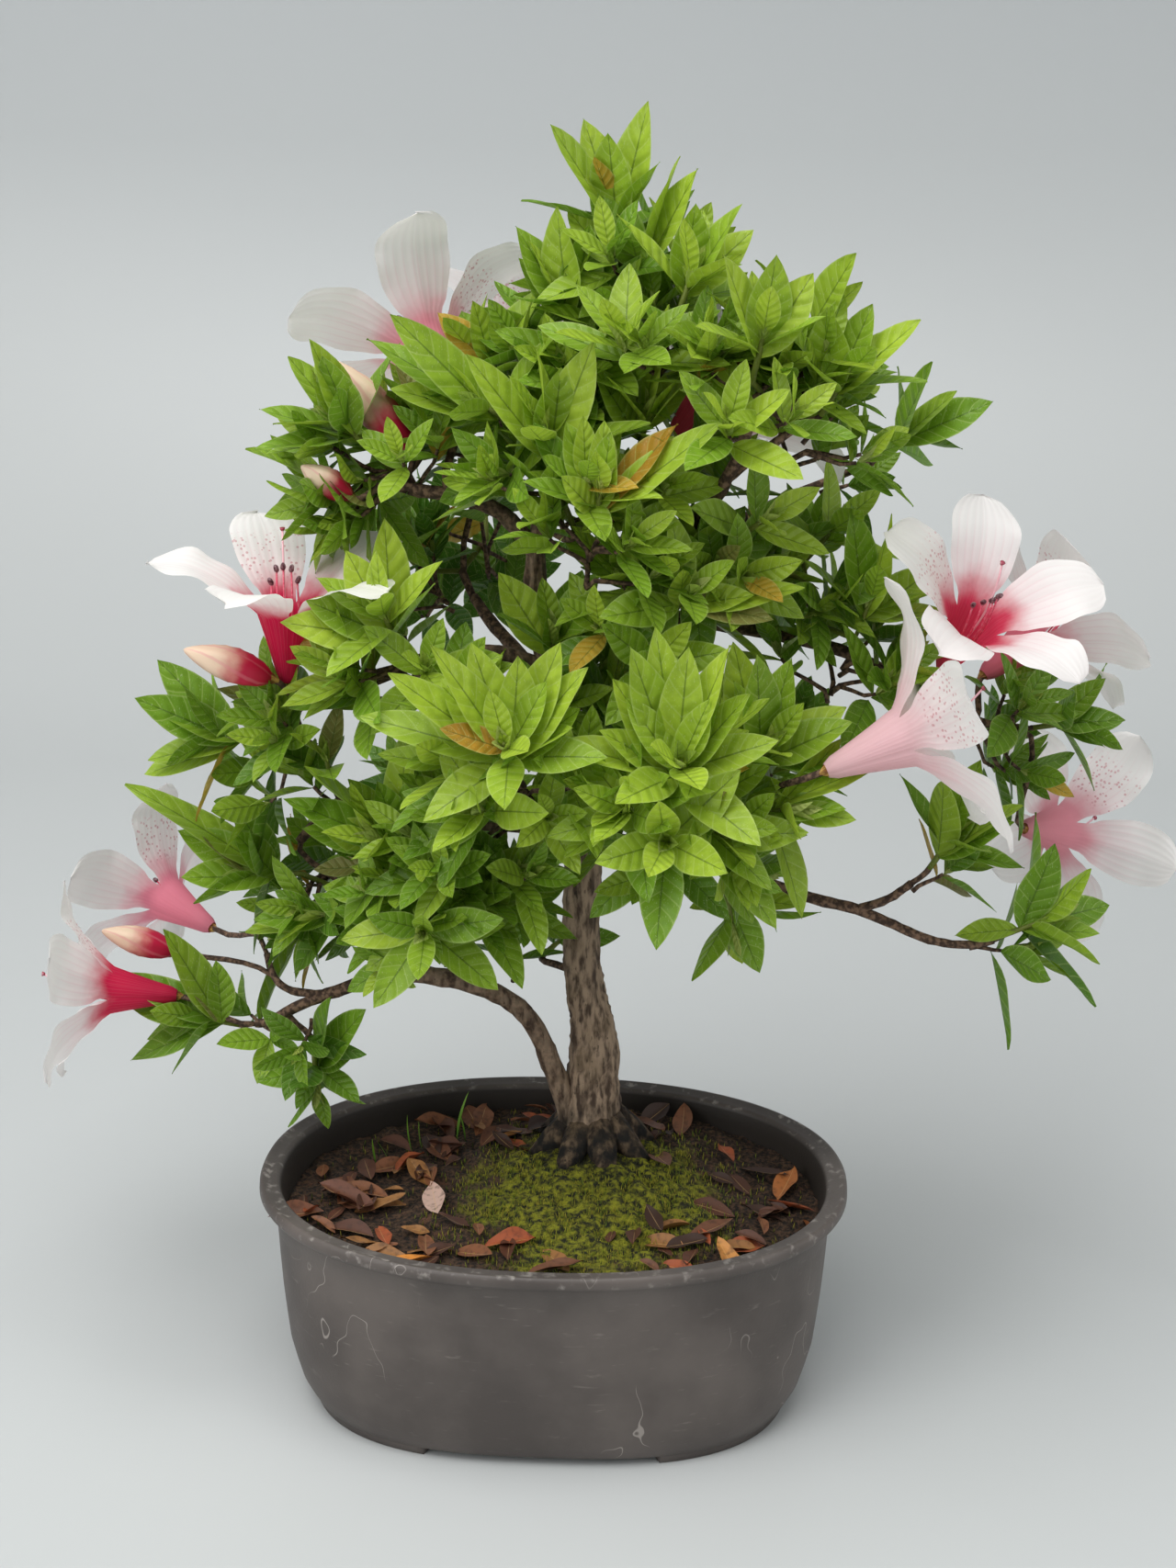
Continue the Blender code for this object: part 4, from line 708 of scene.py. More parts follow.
limb_routes = [smooth_route(spots, 1) for spots in LIMBS.values()]
sheets = []
for number, spots in enumerate(LIMBS.values()):
    fine = smooth_route(spots, LIMB_STEPS if number else TRUNK_STEPS)
    rough = STEM_ROUGH if number < 2 else LIMB_ROUGH
    sheets.append(stalk(fine, LIMB_SIDES if number else TRUNK_SIDES, rough))
stub = [(seen(x, z, back), seen_size(radius, back)) for x, z, back, radius in STUB]
sheets.append(stalk(stub, LIMB_SIDES, TWIG_ROUGH, linear("ffe0b0")))
for k in range(SURFACE_ROOTS):
    # Surface roots flare from the trunk's foot into the moss.
    turn = k / SURFACE_ROOTS * 2 * math.pi + 0.3
    way = Vector((math.cos(turn), math.sin(turn), 0))
    foot = Vector((TRUNK_FOOT[0], TRUNK_FOOT[1], 0.080)) + way * 0.006
    route = [(foot, 0.006), (foot + way * 0.008 - Vector((0, 0, 0.007)), 0.005),
             (foot + way * 0.016 - Vector((0, 0, 0.014)), 0.003)]
    # The roots are tinted darker, as painted shade at the trunk's foot.
    sheets.append(stalk(route, ROOT_SIDES, ROOT_ROUGH, (0.45, 0.42, 0.36)))


def nearest_on_limbs(place):
    """The nearest spot on any limb that grows that way, with its radius and the limb's direction there."""
    best = None
    for route in limb_routes:
        for (a, ra), (b, rb) in zip(route, route[1:]):
            way = b - a
            t = min(1, max(0, (place - a).dot(way) / way.dot(way)))
            spot = a + way * t
            lean = (place - spot).normalized().dot(way.normalized()) if place != spot else 1
            far = (place - spot).length * (1.35 - 0.35 * lean)
            if best is None or far < best[0]:
                best = (far, spot, ra + (rb - ra) * t, way.normalized())
    return best[1:]


def bent(start, end, leave, arrive, thick, slim, count=7):
    """A route that leaves one way and arrives another, from thick to slim."""
    span = (end - start).length * 0.35
    route = []
    for i in range(count):
        t = i / (count - 1)
        place = (start * (1 - t) ** 3 + (start + leave * span) * 3 * t * (1 - t) ** 2
                 + (end - arrive * span) * 3 * t * t * (1 - t) + end * t ** 3)
        route.append((place, thick + (slim - thick) * t))
    return route


def fork_of(tips):
    """Where a shoot leaves its woody twig, and its heading there: behind the middle of its whorls."""
    middle = sum((base for base, _, _, _ in tips), Vector()) / len(tips)
    way = sum((heading for _, heading, _, _ in tips), Vector()).normalized()
    return middle - way * (SINGLE_STEM if len(tips) == 1 else FORKED_STEM), way


def twig_to(end, heading):
    """A woody twig from the nearest limb to that end."""
    start, thick, way = nearest_on_limbs(end)
    base = min(thick * 0.7, max(TWIG_RADIUS * 1.3, 0.0016))
    return stalk(bent(start, end, way, heading, base, TWIG_RADIUS), TWIG_SIDES, TWIG_ROUGH)


shoots = {}
for name, whorls in SPRAYS.items():
    tips = []
    for x, z, back, count, length, way in whorls:
        tips.append((seen(x, z, back), Vector(way).normalized(), count, length))
    fork, way = fork_of(tips)
    shoots[name] = (tips, fork)
    sheets.append(twig_to(fork, way))
for spot, way, *_ in BLOOMS.values():
    sheets.append(twig_to(seen(*spot), Vector(way).normalized()))
for low, high, _ in BUDS.values():
    sheets.append(twig_to(seen(*low), (seen(*high) - seen(*low)).normalized()))
piece("wood", sheets, bark, ["trunk"])

# Leaves: small lance-shaped blades in whorls at the shoots' tips, each 20 to 40 mm long on a green stem.
# Young ones are bright yellow-green; the crown's top and front are painted lighter, and its inside and back a
# deeper green, as painted light and shade.
# Each shoot holds its own whorls and the side whorls that grow below them.
SHOOT_SEED = 700
GOLDEN_TURN = math.radians(137.5)
LEAF_WIDTH, LEAF_FOLD, LEAF_WAVE = 0.40, 0.28, 0.012
SIDE_WHORLS = 7
FEW_SIDE_WHORLS = 1
# Shoots that stand alone, where the crown is thin, have few side whorls.
LONE = {"shoot_right_hanging", "shoot_low_tip", "shoot_right_tip", "shoot_far_right", "shoot_behind_trunk",
        "shoot_low_left_tip", "shoot_left_bright", "shoot_right_twig"}
STEM_GREEN = linear("7f8a3a")
YOUNG_GREENS = ("c3cf7a", "a9bf55", "bccb62")
DYING_YELLOWS = ("b98a2e", "c9a33a", "8f8a4a")

# Leaf: a thin living blade with a soft sheen, which light comes through. It is mottled every 3 mm, with a dark
# midrib, and pale side veins and margin. The hairs are drawn 0.4 mm wide, coarser than real, so that they show.
leaf, tree = new_material("azalea_leaf_hairy")
carried = add(tree, "ShaderNodeAttribute", {}, attribute_name="mark")
mark = add(tree, "ShaderNodeSeparateColor", {0: carried}).outputs
tint = add(tree, "ShaderNodeAttribute", {}, attribute_name="tint")
place = add(tree, "ShaderNodeTexCoord", {}).outputs["Object"]
across_leaf = add(tree, "ShaderNodeMath", {0: mark[1], 1: 2.0, 2: -1.0}, operation="MULTIPLY_ADD")
off_rib = add(tree, "ShaderNodeMath", {0: across_leaf}, operation="ABSOLUTE")
slant = add(tree, "ShaderNodeMath", {0: off_rib, 1: -0.16, 2: mark[0]}, operation="MULTIPLY_ADD")
vein_turn = add(tree, "ShaderNodeMath", {0: slant, 1: 44.0}, operation="MULTIPLY")
veins = add(tree, "ShaderNodeMath", {0: vein_turn}, operation="SINE")
mottle = add(tree, "ShaderNodeTexNoise", {"Vector": place, "Scale": 300, "Detail": 4})
mottled = add(tree, "ShaderNodeMapRange", {0: mottle, 1: 0.35, 2: 0.7, 3: 0, 4: 0.22}, **EASED)
green = add(tree, "ShaderNodeMix", {0: mottled, 6: tint, 7: "4a7018"}, **COLOURS)
veined = add(tree, "ShaderNodeMapRange", {0: veins, 1: 0.90, 2: 1.0, 3: 0, 4: 0.28}, **EASED)
green = add(tree, "ShaderNodeMix", {0: veined, 6: green, 7: "c6d884"}, **COLOURS)
rib = add(tree, "ShaderNodeMapRange", {0: off_rib, 1: 0.07, 2: 0.02, 3: 0, 4: 0.6}, **EASED)
green = add(tree, "ShaderNodeMix", {0: rib, 6: green, 7: "46611c"}, **COLOURS)
margin = add(tree, "ShaderNodeMapRange", {0: off_rib, 1: 0.86, 2: 1.0, 3: 0, 4: 0.35}, **EASED)
green = add(tree, "ShaderNodeMix", {0: margin, 6: green, 7: "c9d98c"}, **COLOURS)
hair_place = add(tree, "ShaderNodeMapping", {"Vector": place, "Scale": (1, 1, 0.3)})
hairs = add(tree, "ShaderNodeTexNoise", {"Vector": hair_place, "Scale": 2600, "Detail": 2})
haired = add(tree, "ShaderNodeMapRange", {0: hairs, 1: 0.62, 2: 0.72, 3: 0, 4: 0.35}, **EASED)
green = add(tree, "ShaderNodeMix", {0: haired, 6: green, 7: "d7e2ae"}, **COLOURS)
quilting = add(tree, "ShaderNodeBump", {"Height": veins, "Distance": 0.0004, "Strength": 0.35})
shader = add(tree, "ShaderNodeBsdfPrincipled",
             {"Base Color": green, "Roughness": 0.42, "Specular IOR Level": 0.35, "Normal": quilting})
through = add(tree, "ShaderNodeBsdfTranslucent", {"Color": green})
thin = add(tree, "ShaderNodeMixShader", {0: 0.30, 1: shader, 2: through})
add(tree, "ShaderNodeOutputMaterial", {"Surface": thin})


def whorl_leaves(rng, base, heading, count, length):
    """Each leaf of a whorl, from the lowest: (root, heading, face, length, curl, its share of the whorl's rise)."""
    up, side = side_axes(heading, rng.uniform(0, 2 * math.pi))
    stalk_length = (3 + 0.9 * count) * MM
    for i in range(count):
        share = i / max(1, count - 1)
        turn = i * GOLDEN_TURN + rng.uniform(-0.2, 0.2)
        lean = math.radians(76 - 48 * share ** 1.1) + rng.uniform(-0.12, 0.12)
        out = up * math.cos(turn) + side * math.sin(turn)
        way = (heading * math.cos(lean) + out * math.sin(lean)).normalized()
        size = length * MM * (1 - 0.36 * share) * rng.uniform(0.92, 1.06)
        curl = rng.uniform(-0.14, 0.02) + 0.08 * share
        yield base + heading * stalk_length * share, way, heading, size, curl, share


def leaf_colour(place, share, rng):
    """Young leaves at the tips are yellow-green. Leaves high up and at the front are painted lighter, and low, back
    and inner ones deeper green, as painted light and shade.
    """
    # Painted light and shade: lighter with height and towards the front, deeper green low and at the back.
    light = 0.42 + (place.z - 0.20) * 1.3 - place.y * 5.0 + 0.35 * share + rng.uniform(-0.25, 0.25)
    light = max(0.0, min(1.0, light))
    deep, middle, bright = Vector(linear("48761c")), Vector(linear("7ca428")), Vector(linear("b2cc3e"))
    mix = deep.lerp(middle, light * 2) if light < 0.5 else middle.lerp(bright, light * 2 - 1)
    if rng.random() < 0.025:
        mix = Vector(linear(rng.choice(DYING_YELLOWS)))
    return tuple(mix)


side_twigs = []
for number, (name, (tips, fork)) in enumerate(shoots.items()):
    own_rng, rng = random.Random(SHOOT_SEED + number), random.Random(SHOOT_SEED + number)
    sheets = []
    for base, heading, count, length in tips:
        top = base + heading * (5 + 0.9 * count) * MM
        middle_stem = base - heading * (base - fork).length * 0.35
        stem = [(fork, 1.0 * MM), (middle_stem, 1.0 * MM), (base, 1.0 * MM), (top, 0.6 * MM)]
        shape, marks, _, _ = stalk(stem, TWIG_SIDES, 0.0001)
        # A stem takes the leaf's green between its veins.
        marks[..., 0], marks[..., 1] = 0.5, 0.8
        sheets.append((shape, marks, STEM_GREEN, True))
        # The last value sets how far a whorl takes the painted light: the side whorls below, inside the crown, take
        # less and are painted a deeper green as painted shade.
        whorls = [(base, heading, count, length, 1.0)]
        for k in range(FEW_SIDE_WHORLS if name in LONE else SIDE_WHORLS):
            up, side = side_axes(heading, rng.uniform(0, 6.28))
            back = rng.uniform(9, 24) * MM
            out = up * math.cos(k * GOLDEN_TURN) + side * math.sin(k * GOLDEN_TURN)
            place = base - heading * back + out * rng.uniform(9, 19) * MM * (0.4 if name in LONE else 1)
            toward = (heading * 0.8 + out * 0.75 + Vector((0, 0, 0.35))).normalized()
            whorls.append((place, toward, rng.randint(5, 8), length * rng.uniform(0.7, 1.0), 0.6))
            route = bent(base - heading * (back + 0.006), place + toward * 0.004, heading, toward,
                         0.9 * MM, 0.6 * MM, 5)
            side_twigs.append(stalk(route, 6, 0.0001))
        for place, toward, leaves, size, brightness in whorls:
            whorl_rng = own_rng if brightness == 1.0 else rng
            for root, lean, face, long, curl, share in whorl_leaves(whorl_rng, place, toward, leaves, size):
                spots, marks = blade(root, lean, face, long, curl, LEAF_WIDTH, LEAF_FOLD, LEAF_WAVE,
                                     rng.uniform(0, 6.2))
                sheets.append((spots, marks, leaf_colour(root, share * brightness, rng), False))
            for k in range(3):
                # The folded young leaves that stand at every shoot's tip.
                lean = (toward + side_axes(toward, k * 2.1 + 0.4)[0] * 0.3).normalized()
                spots, marks = blade(place + toward * 4 * MM, lean, toward, size * 0.42 * MM, 0.05, 0.3, 0.7)
                sheets.append((spots, marks, linear(rng.choice(YOUNG_GREENS)), False))
    piece(name + "_leaves", sheets, leaf, [name])
piece("green_twigs", side_twigs, bark)

# Outer leaves: the leaves that face the front, which a grower turns to the viewer.
# Each runs from its whorl at (x, z, back) to its own tip at (x, z), in mm on the middle plane.
OUTER_WHORLS = (
    ((18, 390, 30), (-2.5, 420), (8, 422), (15, 418), (27, 427)),
    ((26, 377, 25), (10, 405), (34, 412), (39, 402), (41, 408)),
    ((38, 370, 5), (41, 398), (55, 398), (58, 391)),
    ((61, 352, -16), (51, 383), (66, 383), (77, 378)),
    ((77, 362, 10), (89, 384)),
    ((84, 341, 0), (81, 367), (95, 369), (109, 365)),
    ((104, 327, 50), (114, 352), (122, 343), (133, 340)),
    ((25, 327, 4), (34, 368), (43, 350), (24, 352), (12, 349)),
    ((-2, 320, -6), (1.5, 348), (10.5, 356), (-6, 354), (-10, 341), (-28, 352)),
    ((13, 303, -22), (1, 315), (3, 332), (17, 329), (37, 332), (51, 332)),
    ((4, 362, 22), (-1, 396), (-11, 391), (10, 391), (-12, 381)),
    ((-20, 348, 30), (-36, 365), (-25, 368), (-18, 360), (-5, 373)),
    ((-18, 332, 10), (-51, 343), (-41, 341), (-50, 364), (-57, 358)),
    ((-62, 326, 16), (-76, 356), (-83, 350), (-72, 351), (-92, 334), (-94, 322)),
    ((-72, 312, 30), (-96, 323), (-65, 291), (-68, 306)),
    ((-52, 262, -12), (-54, 301), (-38, 280), (-66, 290), (-79, 274), (-88, 266), (-50, 273)),
    ((-1, 257, 4), (-18, 284), (14, 285), (24, 280), (-2, 272)),
    ((-14, 222, -42), (-39, 260), (-27, 261), (-54, 250), (-36, 246), (-63, 238), (-41, 239), (-30, 233),
     (-12, 257),
     (2, 262), (8, 254), (8, 240), (5, 234)),
    ((39, 218, -42), (32, 267), (23, 261), (42, 261), (55, 262), (18, 250), (35, 245), (53, 249),
     (62, 246), (62, 234),
     (62, 222), (24, 223), (14, 233), (0, 230)),
    ((27, 202, -14), (-14, 209), (29, 217), (11, 198), (40, 200)),
    ((-26, 201, -22), (-51, 216), (-20, 221), (-31, 198)),
    ((-50, 190, -10), (-81, 219), (-88, 208), (-77, 198), (-66, 215), (-57, 213), (-83, 197), (-50, 230),
     (-62, 184)),
    ((-32, 173, -14), (2, 195), (0, 178), (-18, 190), (-33, 195), (-66, 185), (-14, 183)),
    ((-43, 163, -30), (-71, 158), (-29, 167), (-16, 165), (-63, 147), (-38, 150), (-19, 141), (-37, 168)),
    ((-92, 180, 20), (-124, 178), (-119, 180), (-124, 195), (-105, 195), (-139, 213), (-104, 205)),
    ((-72, 166, 4), (-103, 160), (-100, 165), (-71, 170)),
    ((-102, 226, 15), (-128, 253), (-136, 240), (-133, 221), (-134, 214), (-128, 236), (-77, 216)),
    ((39, 274, -14), (26, 272), (40, 286), (62, 279), (78, 281)),
    ((66, 223, -20), (74, 258), (56, 263), (64, 259), (92, 243), (94, 238)),
    ((68, 207, -26), (110, 227), (94, 208), (80, 199), (56, 216)),
    ((97, 271, 12), (91, 308), (105, 305), (118, 289), (121, 276)),
    ((158, 238, 52), (173, 254), (180, 241), (175, 232)),
    ((124, 192, 14), (136, 226), (126, 220), (149, 212), (148, 205)),
    ((152, 168, 19), (162, 197), (178, 168), (131, 166)),
    ((57, 176, 14), (68, 150), (44, 173), (80, 175)),
    ((-80, 111, 10), (-66, 99), (-88, 95), (-101, 105), (-69, 115), (-83, 120), (-64, 133), (-77, 137)),
    ((-96, 121, 10), (-114, 119), (-101, 104), (-86, 117), (-91, 126)),
    ((-112, 126, 8), (-145, 133), (-145, 113), (-113, 149), (-125, 150), (-146, 144), (-130, 160)),
)
OUTER_FOLD, SHORTEST_LEAF, LONGEST_LEAF = 0.25, 18 * MM, 36 * MM
rng = random.Random(97)
sheets = []
for (x, z, back), *leaf_tips in OUTER_WHORLS:
    root = seen(x, z, back)
    for tip_x, tip_z in leaf_tips:
        tip = seen(tip_x, tip_z, back + rng.uniform(-13, 3))
        long = (tip - root).length
        face = Vector((rng.uniform(-0.35, 0.35), rng.uniform(-0.75, -0.15), rng.uniform(0.5, 1)))
        # A long leaf is a narrow one.
        width = LEAF_WIDTH * min(1.15, LONGEST_LEAF / max(long, SHORTEST_LEAF))
        spots, marks = blade(root, (tip - root).normalized(), face, long, rng.uniform(-0.08, 0.03), width,
                             OUTER_FOLD, LEAF_WAVE, rng.uniform(0, 6.2))
        sheets.append((spots, marks, leaf_colour(root, 0.7, rng), False))
piece("outer_leaves", sheets, leaf)

# Blooms: five petals joined in a tube, white to pale blush, washed crimson in the throat and down the tube.
# The top petal is speckled. Inside stand five stamens with dark anthers, and a longer style.
# The sizes are in mm for a bloom of size 1.
TUBE_LENGTH, MOUTH_RADIUS, LOBE_LENGTH = 24, 9, 37.5
MOUTH_HALF_WIDTH, LOBE_HALF_WIDTH, WIDEST_AT = 5.29, 12.4, 0.62
TUBE_ROWS, LOBE_ROWS, HALF_COLUMNS = 10, 22, 6
JOINED_LENGTH = 7
THROAT = {
    "left": "d3194b", "low_left": "d92550", "right": "e0405f", "far_left": "ef8ea2",
    "right_front": "f6cdd2", "upper_left": "f29aaa", "upper_right": "e0546f", "far_right": "f2a3b0",
}
OTHER_THROAT = "e8788c"

# Petal: thin satin that light comes through. Fine ribs run along it, and the wash has an edge ragged by 7 mm.
# The speckles are dots under 1 mm wide and 1.6 mm apart.
petal, tree = new_material("petal_white_and_crimson")
carried = add(tree, "ShaderNodeAttribute", {}, attribute_name="mark")
mark = add(tree, "ShaderNodeSeparateColor", {0: carried}).outputs
tint = add(tree, "ShaderNodeAttribute", {}, attribute_name="tint")
place = add(tree, "ShaderNodeTexCoord", {}).outputs["Object"]
across_petal = add(tree, "ShaderNodeMath", {0: mark[1], 1: 2.0, 2: -1.0}, operation="MULTIPLY_ADD")
off_rib = add(tree, "ShaderNodeMath", {0: across_petal}, operation="ABSOLUTE")
ragged = add(tree, "ShaderNodeTexNoise", {"Vector": place, "Scale": 140, "Detail": 4})
reach = add(tree, "ShaderNodeMath", {0: ragged, 1: 0.16, 2: mark[0]}, operation="MULTIPLY_ADD")
reach = add(tree, "ShaderNodeMath", {0: off_rib, 1: 0.06, 2: reach}, operation="MULTIPLY_ADD")
throat = add(tree, "ShaderNodeMapRange", {0: reach, 1: 0.66, 2: 0.42}, **EASED)
blush = add(tree, "ShaderNodeMapRange", {0: reach, 1: 0.95, 2: 0.5, 3: 0, 4: 0.3}, **EASED)
skin = add(tree, "ShaderNodeMix", {0: blush, 6: "fffbf9", 7: "f4b3bf"}, **COLOURS)
skin = add(tree, "ShaderNodeMix", {0: throat, 6: skin, 7: tint}, **COLOURS)
rib_turn = add(tree, "ShaderNodeMath", {0: off_rib, 1: 26.0}, operation="MULTIPLY")
ribs = add(tree, "ShaderNodeMath", {0: rib_turn}, operation="SINE")
rib_lines = add(tree, "ShaderNodeMapRange", {0: ribs, 1: 0.6, 2: 1.0, 3: 0, 4: 0.10}, **EASED)
fades_out = add(tree, "ShaderNodeMapRange", {0: mark[0], 1: 0.98, 2: 0.6}, **EASED)
ribbed = add(tree, "ShaderNodeMath", {0: rib_lines, 1: fades_out}, **CLAMPED_PRODUCT)
skin = add(tree, "ShaderNodeMix", {0: ribbed, 6: skin, 7: "e99bab"}, **COLOURS)
cells = add(tree, "ShaderNodeTexVoronoi", {"Vector": place, "Scale": 620.0})
dots = add(tree, "ShaderNodeMapRange", {0: cells, 1: 0.34, 2: 0.22}, **EASED)
on_top_petal = add(tree, "ShaderNodeMapRange", {0: mark[2], 1: 0.5, 2: 0.9}, **EASED)
dots = add(tree, "ShaderNodeMath", {0: dots, 1: on_top_petal}, **CLAMPED_PRODUCT)
band_start = add(tree, "ShaderNodeMapRange", {0: mark[0], 1: 0.42, 2: 0.5}, **EASED)
band_end = add(tree, "ShaderNodeMapRange", {0: mark[0], 1: 0.82, 2: 0.7}, **EASED)
band = add(tree, "ShaderNodeMath", {0: band_start, 1: band_end}, **CLAMPED_PRODUCT)
dots = add(tree, "ShaderNodeMath", {0: dots, 1: band}, **CLAMPED_PRODUCT)
speckled = add(tree, "ShaderNodeMath", {0: dots, 1: 0.45}, **CLAMPED_PRODUCT)
skin = add(tree, "ShaderNodeMix", {0: speckled, 6: skin, 7: "c2184a"}, **COLOURS)
ridges = add(tree, "ShaderNodeBump", {"Height": ribs, "Distance": 0.0003, "Strength": 0.15})
shader = add(tree, "ShaderNodeBsdfPrincipled",
             {"Base Color": skin, "Roughness": 0.55, "Specular IOR Level": 0.25, "Normal": ridges})
through = add(tree, "ShaderNodeBsdfTranslucent", {"Color": skin})
thin = add(tree, "ShaderNodeMixShader", {0: 0.38, 1: shader, 2: through})
add(tree, "ShaderNodeOutputMaterial", {"Surface": thin})

# Stamen: moist and smooth, paler in 1 mm flecks.
stamen, tree = new_material("stamen")
tint = add(tree, "ShaderNodeAttribute", {}, attribute_name="tint")
place = add(tree, "ShaderNodeTexCoord", {}).outputs["Object"]
flecks = add(tree, "ShaderNodeTexNoise", {"Vector": place, "Scale": 900, "Detail": 3})
flecked = add(tree, "ShaderNodeMapRange", {0: flecks, 1: 0.4, 2: 0.7, 3: 0, 4: 0.25}, **EASED)
rod = add(tree, "ShaderNodeMix", {0: flecked, 6: tint, 7: "f7d5d8"}, **COLOURS)
shader = add(tree, "ShaderNodeBsdfPrincipled", {"Base Color": rod, "Roughness": 0.45})
add(tree, "ShaderNodeOutputMaterial", {"Surface": shader})


def petal_sheet(base, heading, up, side, lobe, flare, size, rng):
    """One petal from the bottom of the tube to its tip, ruffled at its edge, with its marks."""
    turn = lobe * 2 * math.pi / 5
    out = up * math.cos(turn) + side * math.sin(turn)
    across = side * math.cos(turn) - up * math.sin(turn)
    tilt = math.radians(flare) * rng.uniform(0.93, 1.07)
    phase = rng.uniform(0, 6.28)
    width = 1.0 + rng.uniform(-0.06, 0.08)
    unit = MM * size
    mouth = base + (heading * TUBE_LENGTH + out * MOUTH_RADIUS) * unit
    speckle = 1.0 if lobe == 0 else 0.0
    last_row = TUBE_ROWS + LOBE_ROWS
    rows, marks = [], []
    for i in range(last_row + 1):
        row, row_marks = [], []
        for j in range(2 * HALF_COLUMNS + 1):
            v = (j - HALF_COLUMNS) / HALF_COLUMNS
            angle = turn + v * math.pi / 5
            radial = up * math.cos(angle) + side * math.sin(angle)
            if i <= TUBE_ROWS:
                along = TUBE_LENGTH * (i / TUBE_ROWS)
                radius = 3.0 + (along / TUBE_LENGTH) ** 1.15 * 6.0 if along > 1 else 2.2 + along * 0.8
                groove = 1 - 0.05 * (abs(v) ** 3)
                spot = base + (heading * along + radial * radius * groove) * unit
            else:
                share = (i - TUBE_ROWS) / LOBE_ROWS
                reach = LOBE_LENGTH * share
                widening = math.sin(min(1, share / WIDEST_AT) * math.pi / 2)
                half = MOUTH_HALF_WIDTH + (LOBE_HALF_WIDTH - MOUTH_HALF_WIDTH) * widening
                if share > WIDEST_AT:
                    past = (share - WIDEST_AT) / (1 - WIDEST_AT)
                    half = LOBE_HALF_WIDTH * max(0.0, 1 - past ** 2.3) ** 0.5
                half *= width
                bend = tilt * (0.72 + 0.42 * share) + 0.25 * max(0, share - 0.7)
                outward = heading * math.cos(bend) + out * math.sin(bend)
                normal = out * math.cos(bend) - heading * math.sin(bend)
                lift = -0.11 * abs(v) * half + 0.5 * math.exp(-(v * 5) ** 2) * (1 - share)
                lift += 1.3 * v * v * math.sin(reach * 0.42 + phase + (2 if v > 0 else 0)) * share
                spot = mouth + (outward * reach + across * v * half + normal * lift) * unit
                if reach < JOINED_LENGTH:
                    # Near the mouth the petals still share the tube's round edge.
                    ring = base + (heading * TUBE_LENGTH + radial * MOUTH_RADIUS + outward * reach) * unit
                    spot = ring.lerp(spot, (reach / JOINED_LENGTH) ** 2)
            row.append(spot)
            row_marks.append((i / last_row, v * 0.5 + 0.5, speckle))
        rows.append(row)
        marks.append(row_marks)
    return np.array(rows), np.array(marks)


ROD_RED, ANTHER_MAROON, STYLE_PINK = linear("d94a68"), linear("4a1020"), linear("eeb4bd")
STIGMA_RED, OVARY_GREEN = linear("9a2440"), linear("a7b45a")
for number, (name, (spot, way, roll, flare, size)) in enumerate(BLOOMS.items()):
    rng = random.Random(300 + number)
    base, heading = seen(*spot), Vector(way).normalized()
    up, side = side_axes(heading, math.radians(roll))
    wash = linear(THROAT.get(name, OTHER_THROAT))
    sheets = []
    for lobe in range(5):
        shape, marks = petal_sheet(base, heading, up, side, lobe, flare, size, rng)
        sheets.append((shape, marks, wash, False))
    piece("corolla_" + name, sheets, petal, ["bloom_" + name])

    up, side = side_axes(heading, 0)
    unit = MM * size
    ovary = [(base + heading * 2.5 * unit, 1.5 * MM), (base + heading * 6.5 * unit, 1.9 * MM)]
    sheets = [stalk(ovary, 10, 0, OVARY_GREEN)]
    for k in range(5):
        spread = (k - 2) * 0.5 + rng.uniform(-0.05, 0.05)
        length = 35 + 2.2 * (2 - abs(k - 2)) + rng.uniform(-2, 3)
        out = side * math.sin(spread) - up * math.cos(spread)
        route = []
        for share in np.linspace(0.13, 0.95, 9):
            bow = 0.6 + 4.4 * math.sin(math.pi * 0.62 * share)
            place = base + (heading * share * length + out * bow + up * 5 * share ** 3) * unit
            route.append((place, 0.33 * MM))
        sheets.append(stalk(route, 6, 0, ROD_RED))
        head = route[-1][0]
        lean = (heading + out * 0.5).normalized() * MM
        anther = [(head - lean * 0.6, 0.5 * MM), (head, 0.85 * MM), (head + lean * 1.4, 0.8 * MM),
                  (head + lean * 2.1, 0.45 * MM)]
        sheets.append(stalk(anther, 8, 0.0001, ANTHER_MAROON))
    style = []
    for share in np.linspace(0.10, 1.0, 12):
        lift = 0.9 - 3.0 * math.sin(math.pi * 0.7 * share) + 6 * share ** 4
        style.append((base + (heading * share * 50 + up * lift) * unit, 0.36 * MM))
    sheets.append(stalk(style, 6, 0, STYLE_PINK))
    end = style[-1][0]
    stigma = [(end - heading * 0.6 * MM, 0.5 * MM), (end + heading * 0.4 * MM, 0.9 * MM)]
    sheets.append(stalk(stigma, 8, 0, STIGMA_RED))
    piece("filaments_" + name, sheets, stamen, ["stamens_" + name])

# Buds: petals still furled, wound round each other in five pleats.
# They are crimson at the base and cream at the tip, where the outer petal has lost its colour.
# The profile is (share of the radius, share of the length) from the foot to the tip.
BUD_PROFILE = (
    (0.02, 0.0), (0.30, 0.015), (0.55, 0.07), (0.74, 0.14), (0.92, 0.27), (1.0, 0.42), (0.93, 0.56),
    (0.78, 0.68),
    (0.56, 0.80), (0.34, 0.89), (0.16, 0.95), (0.02, 0.97),
)
BUD_SIDES = 30
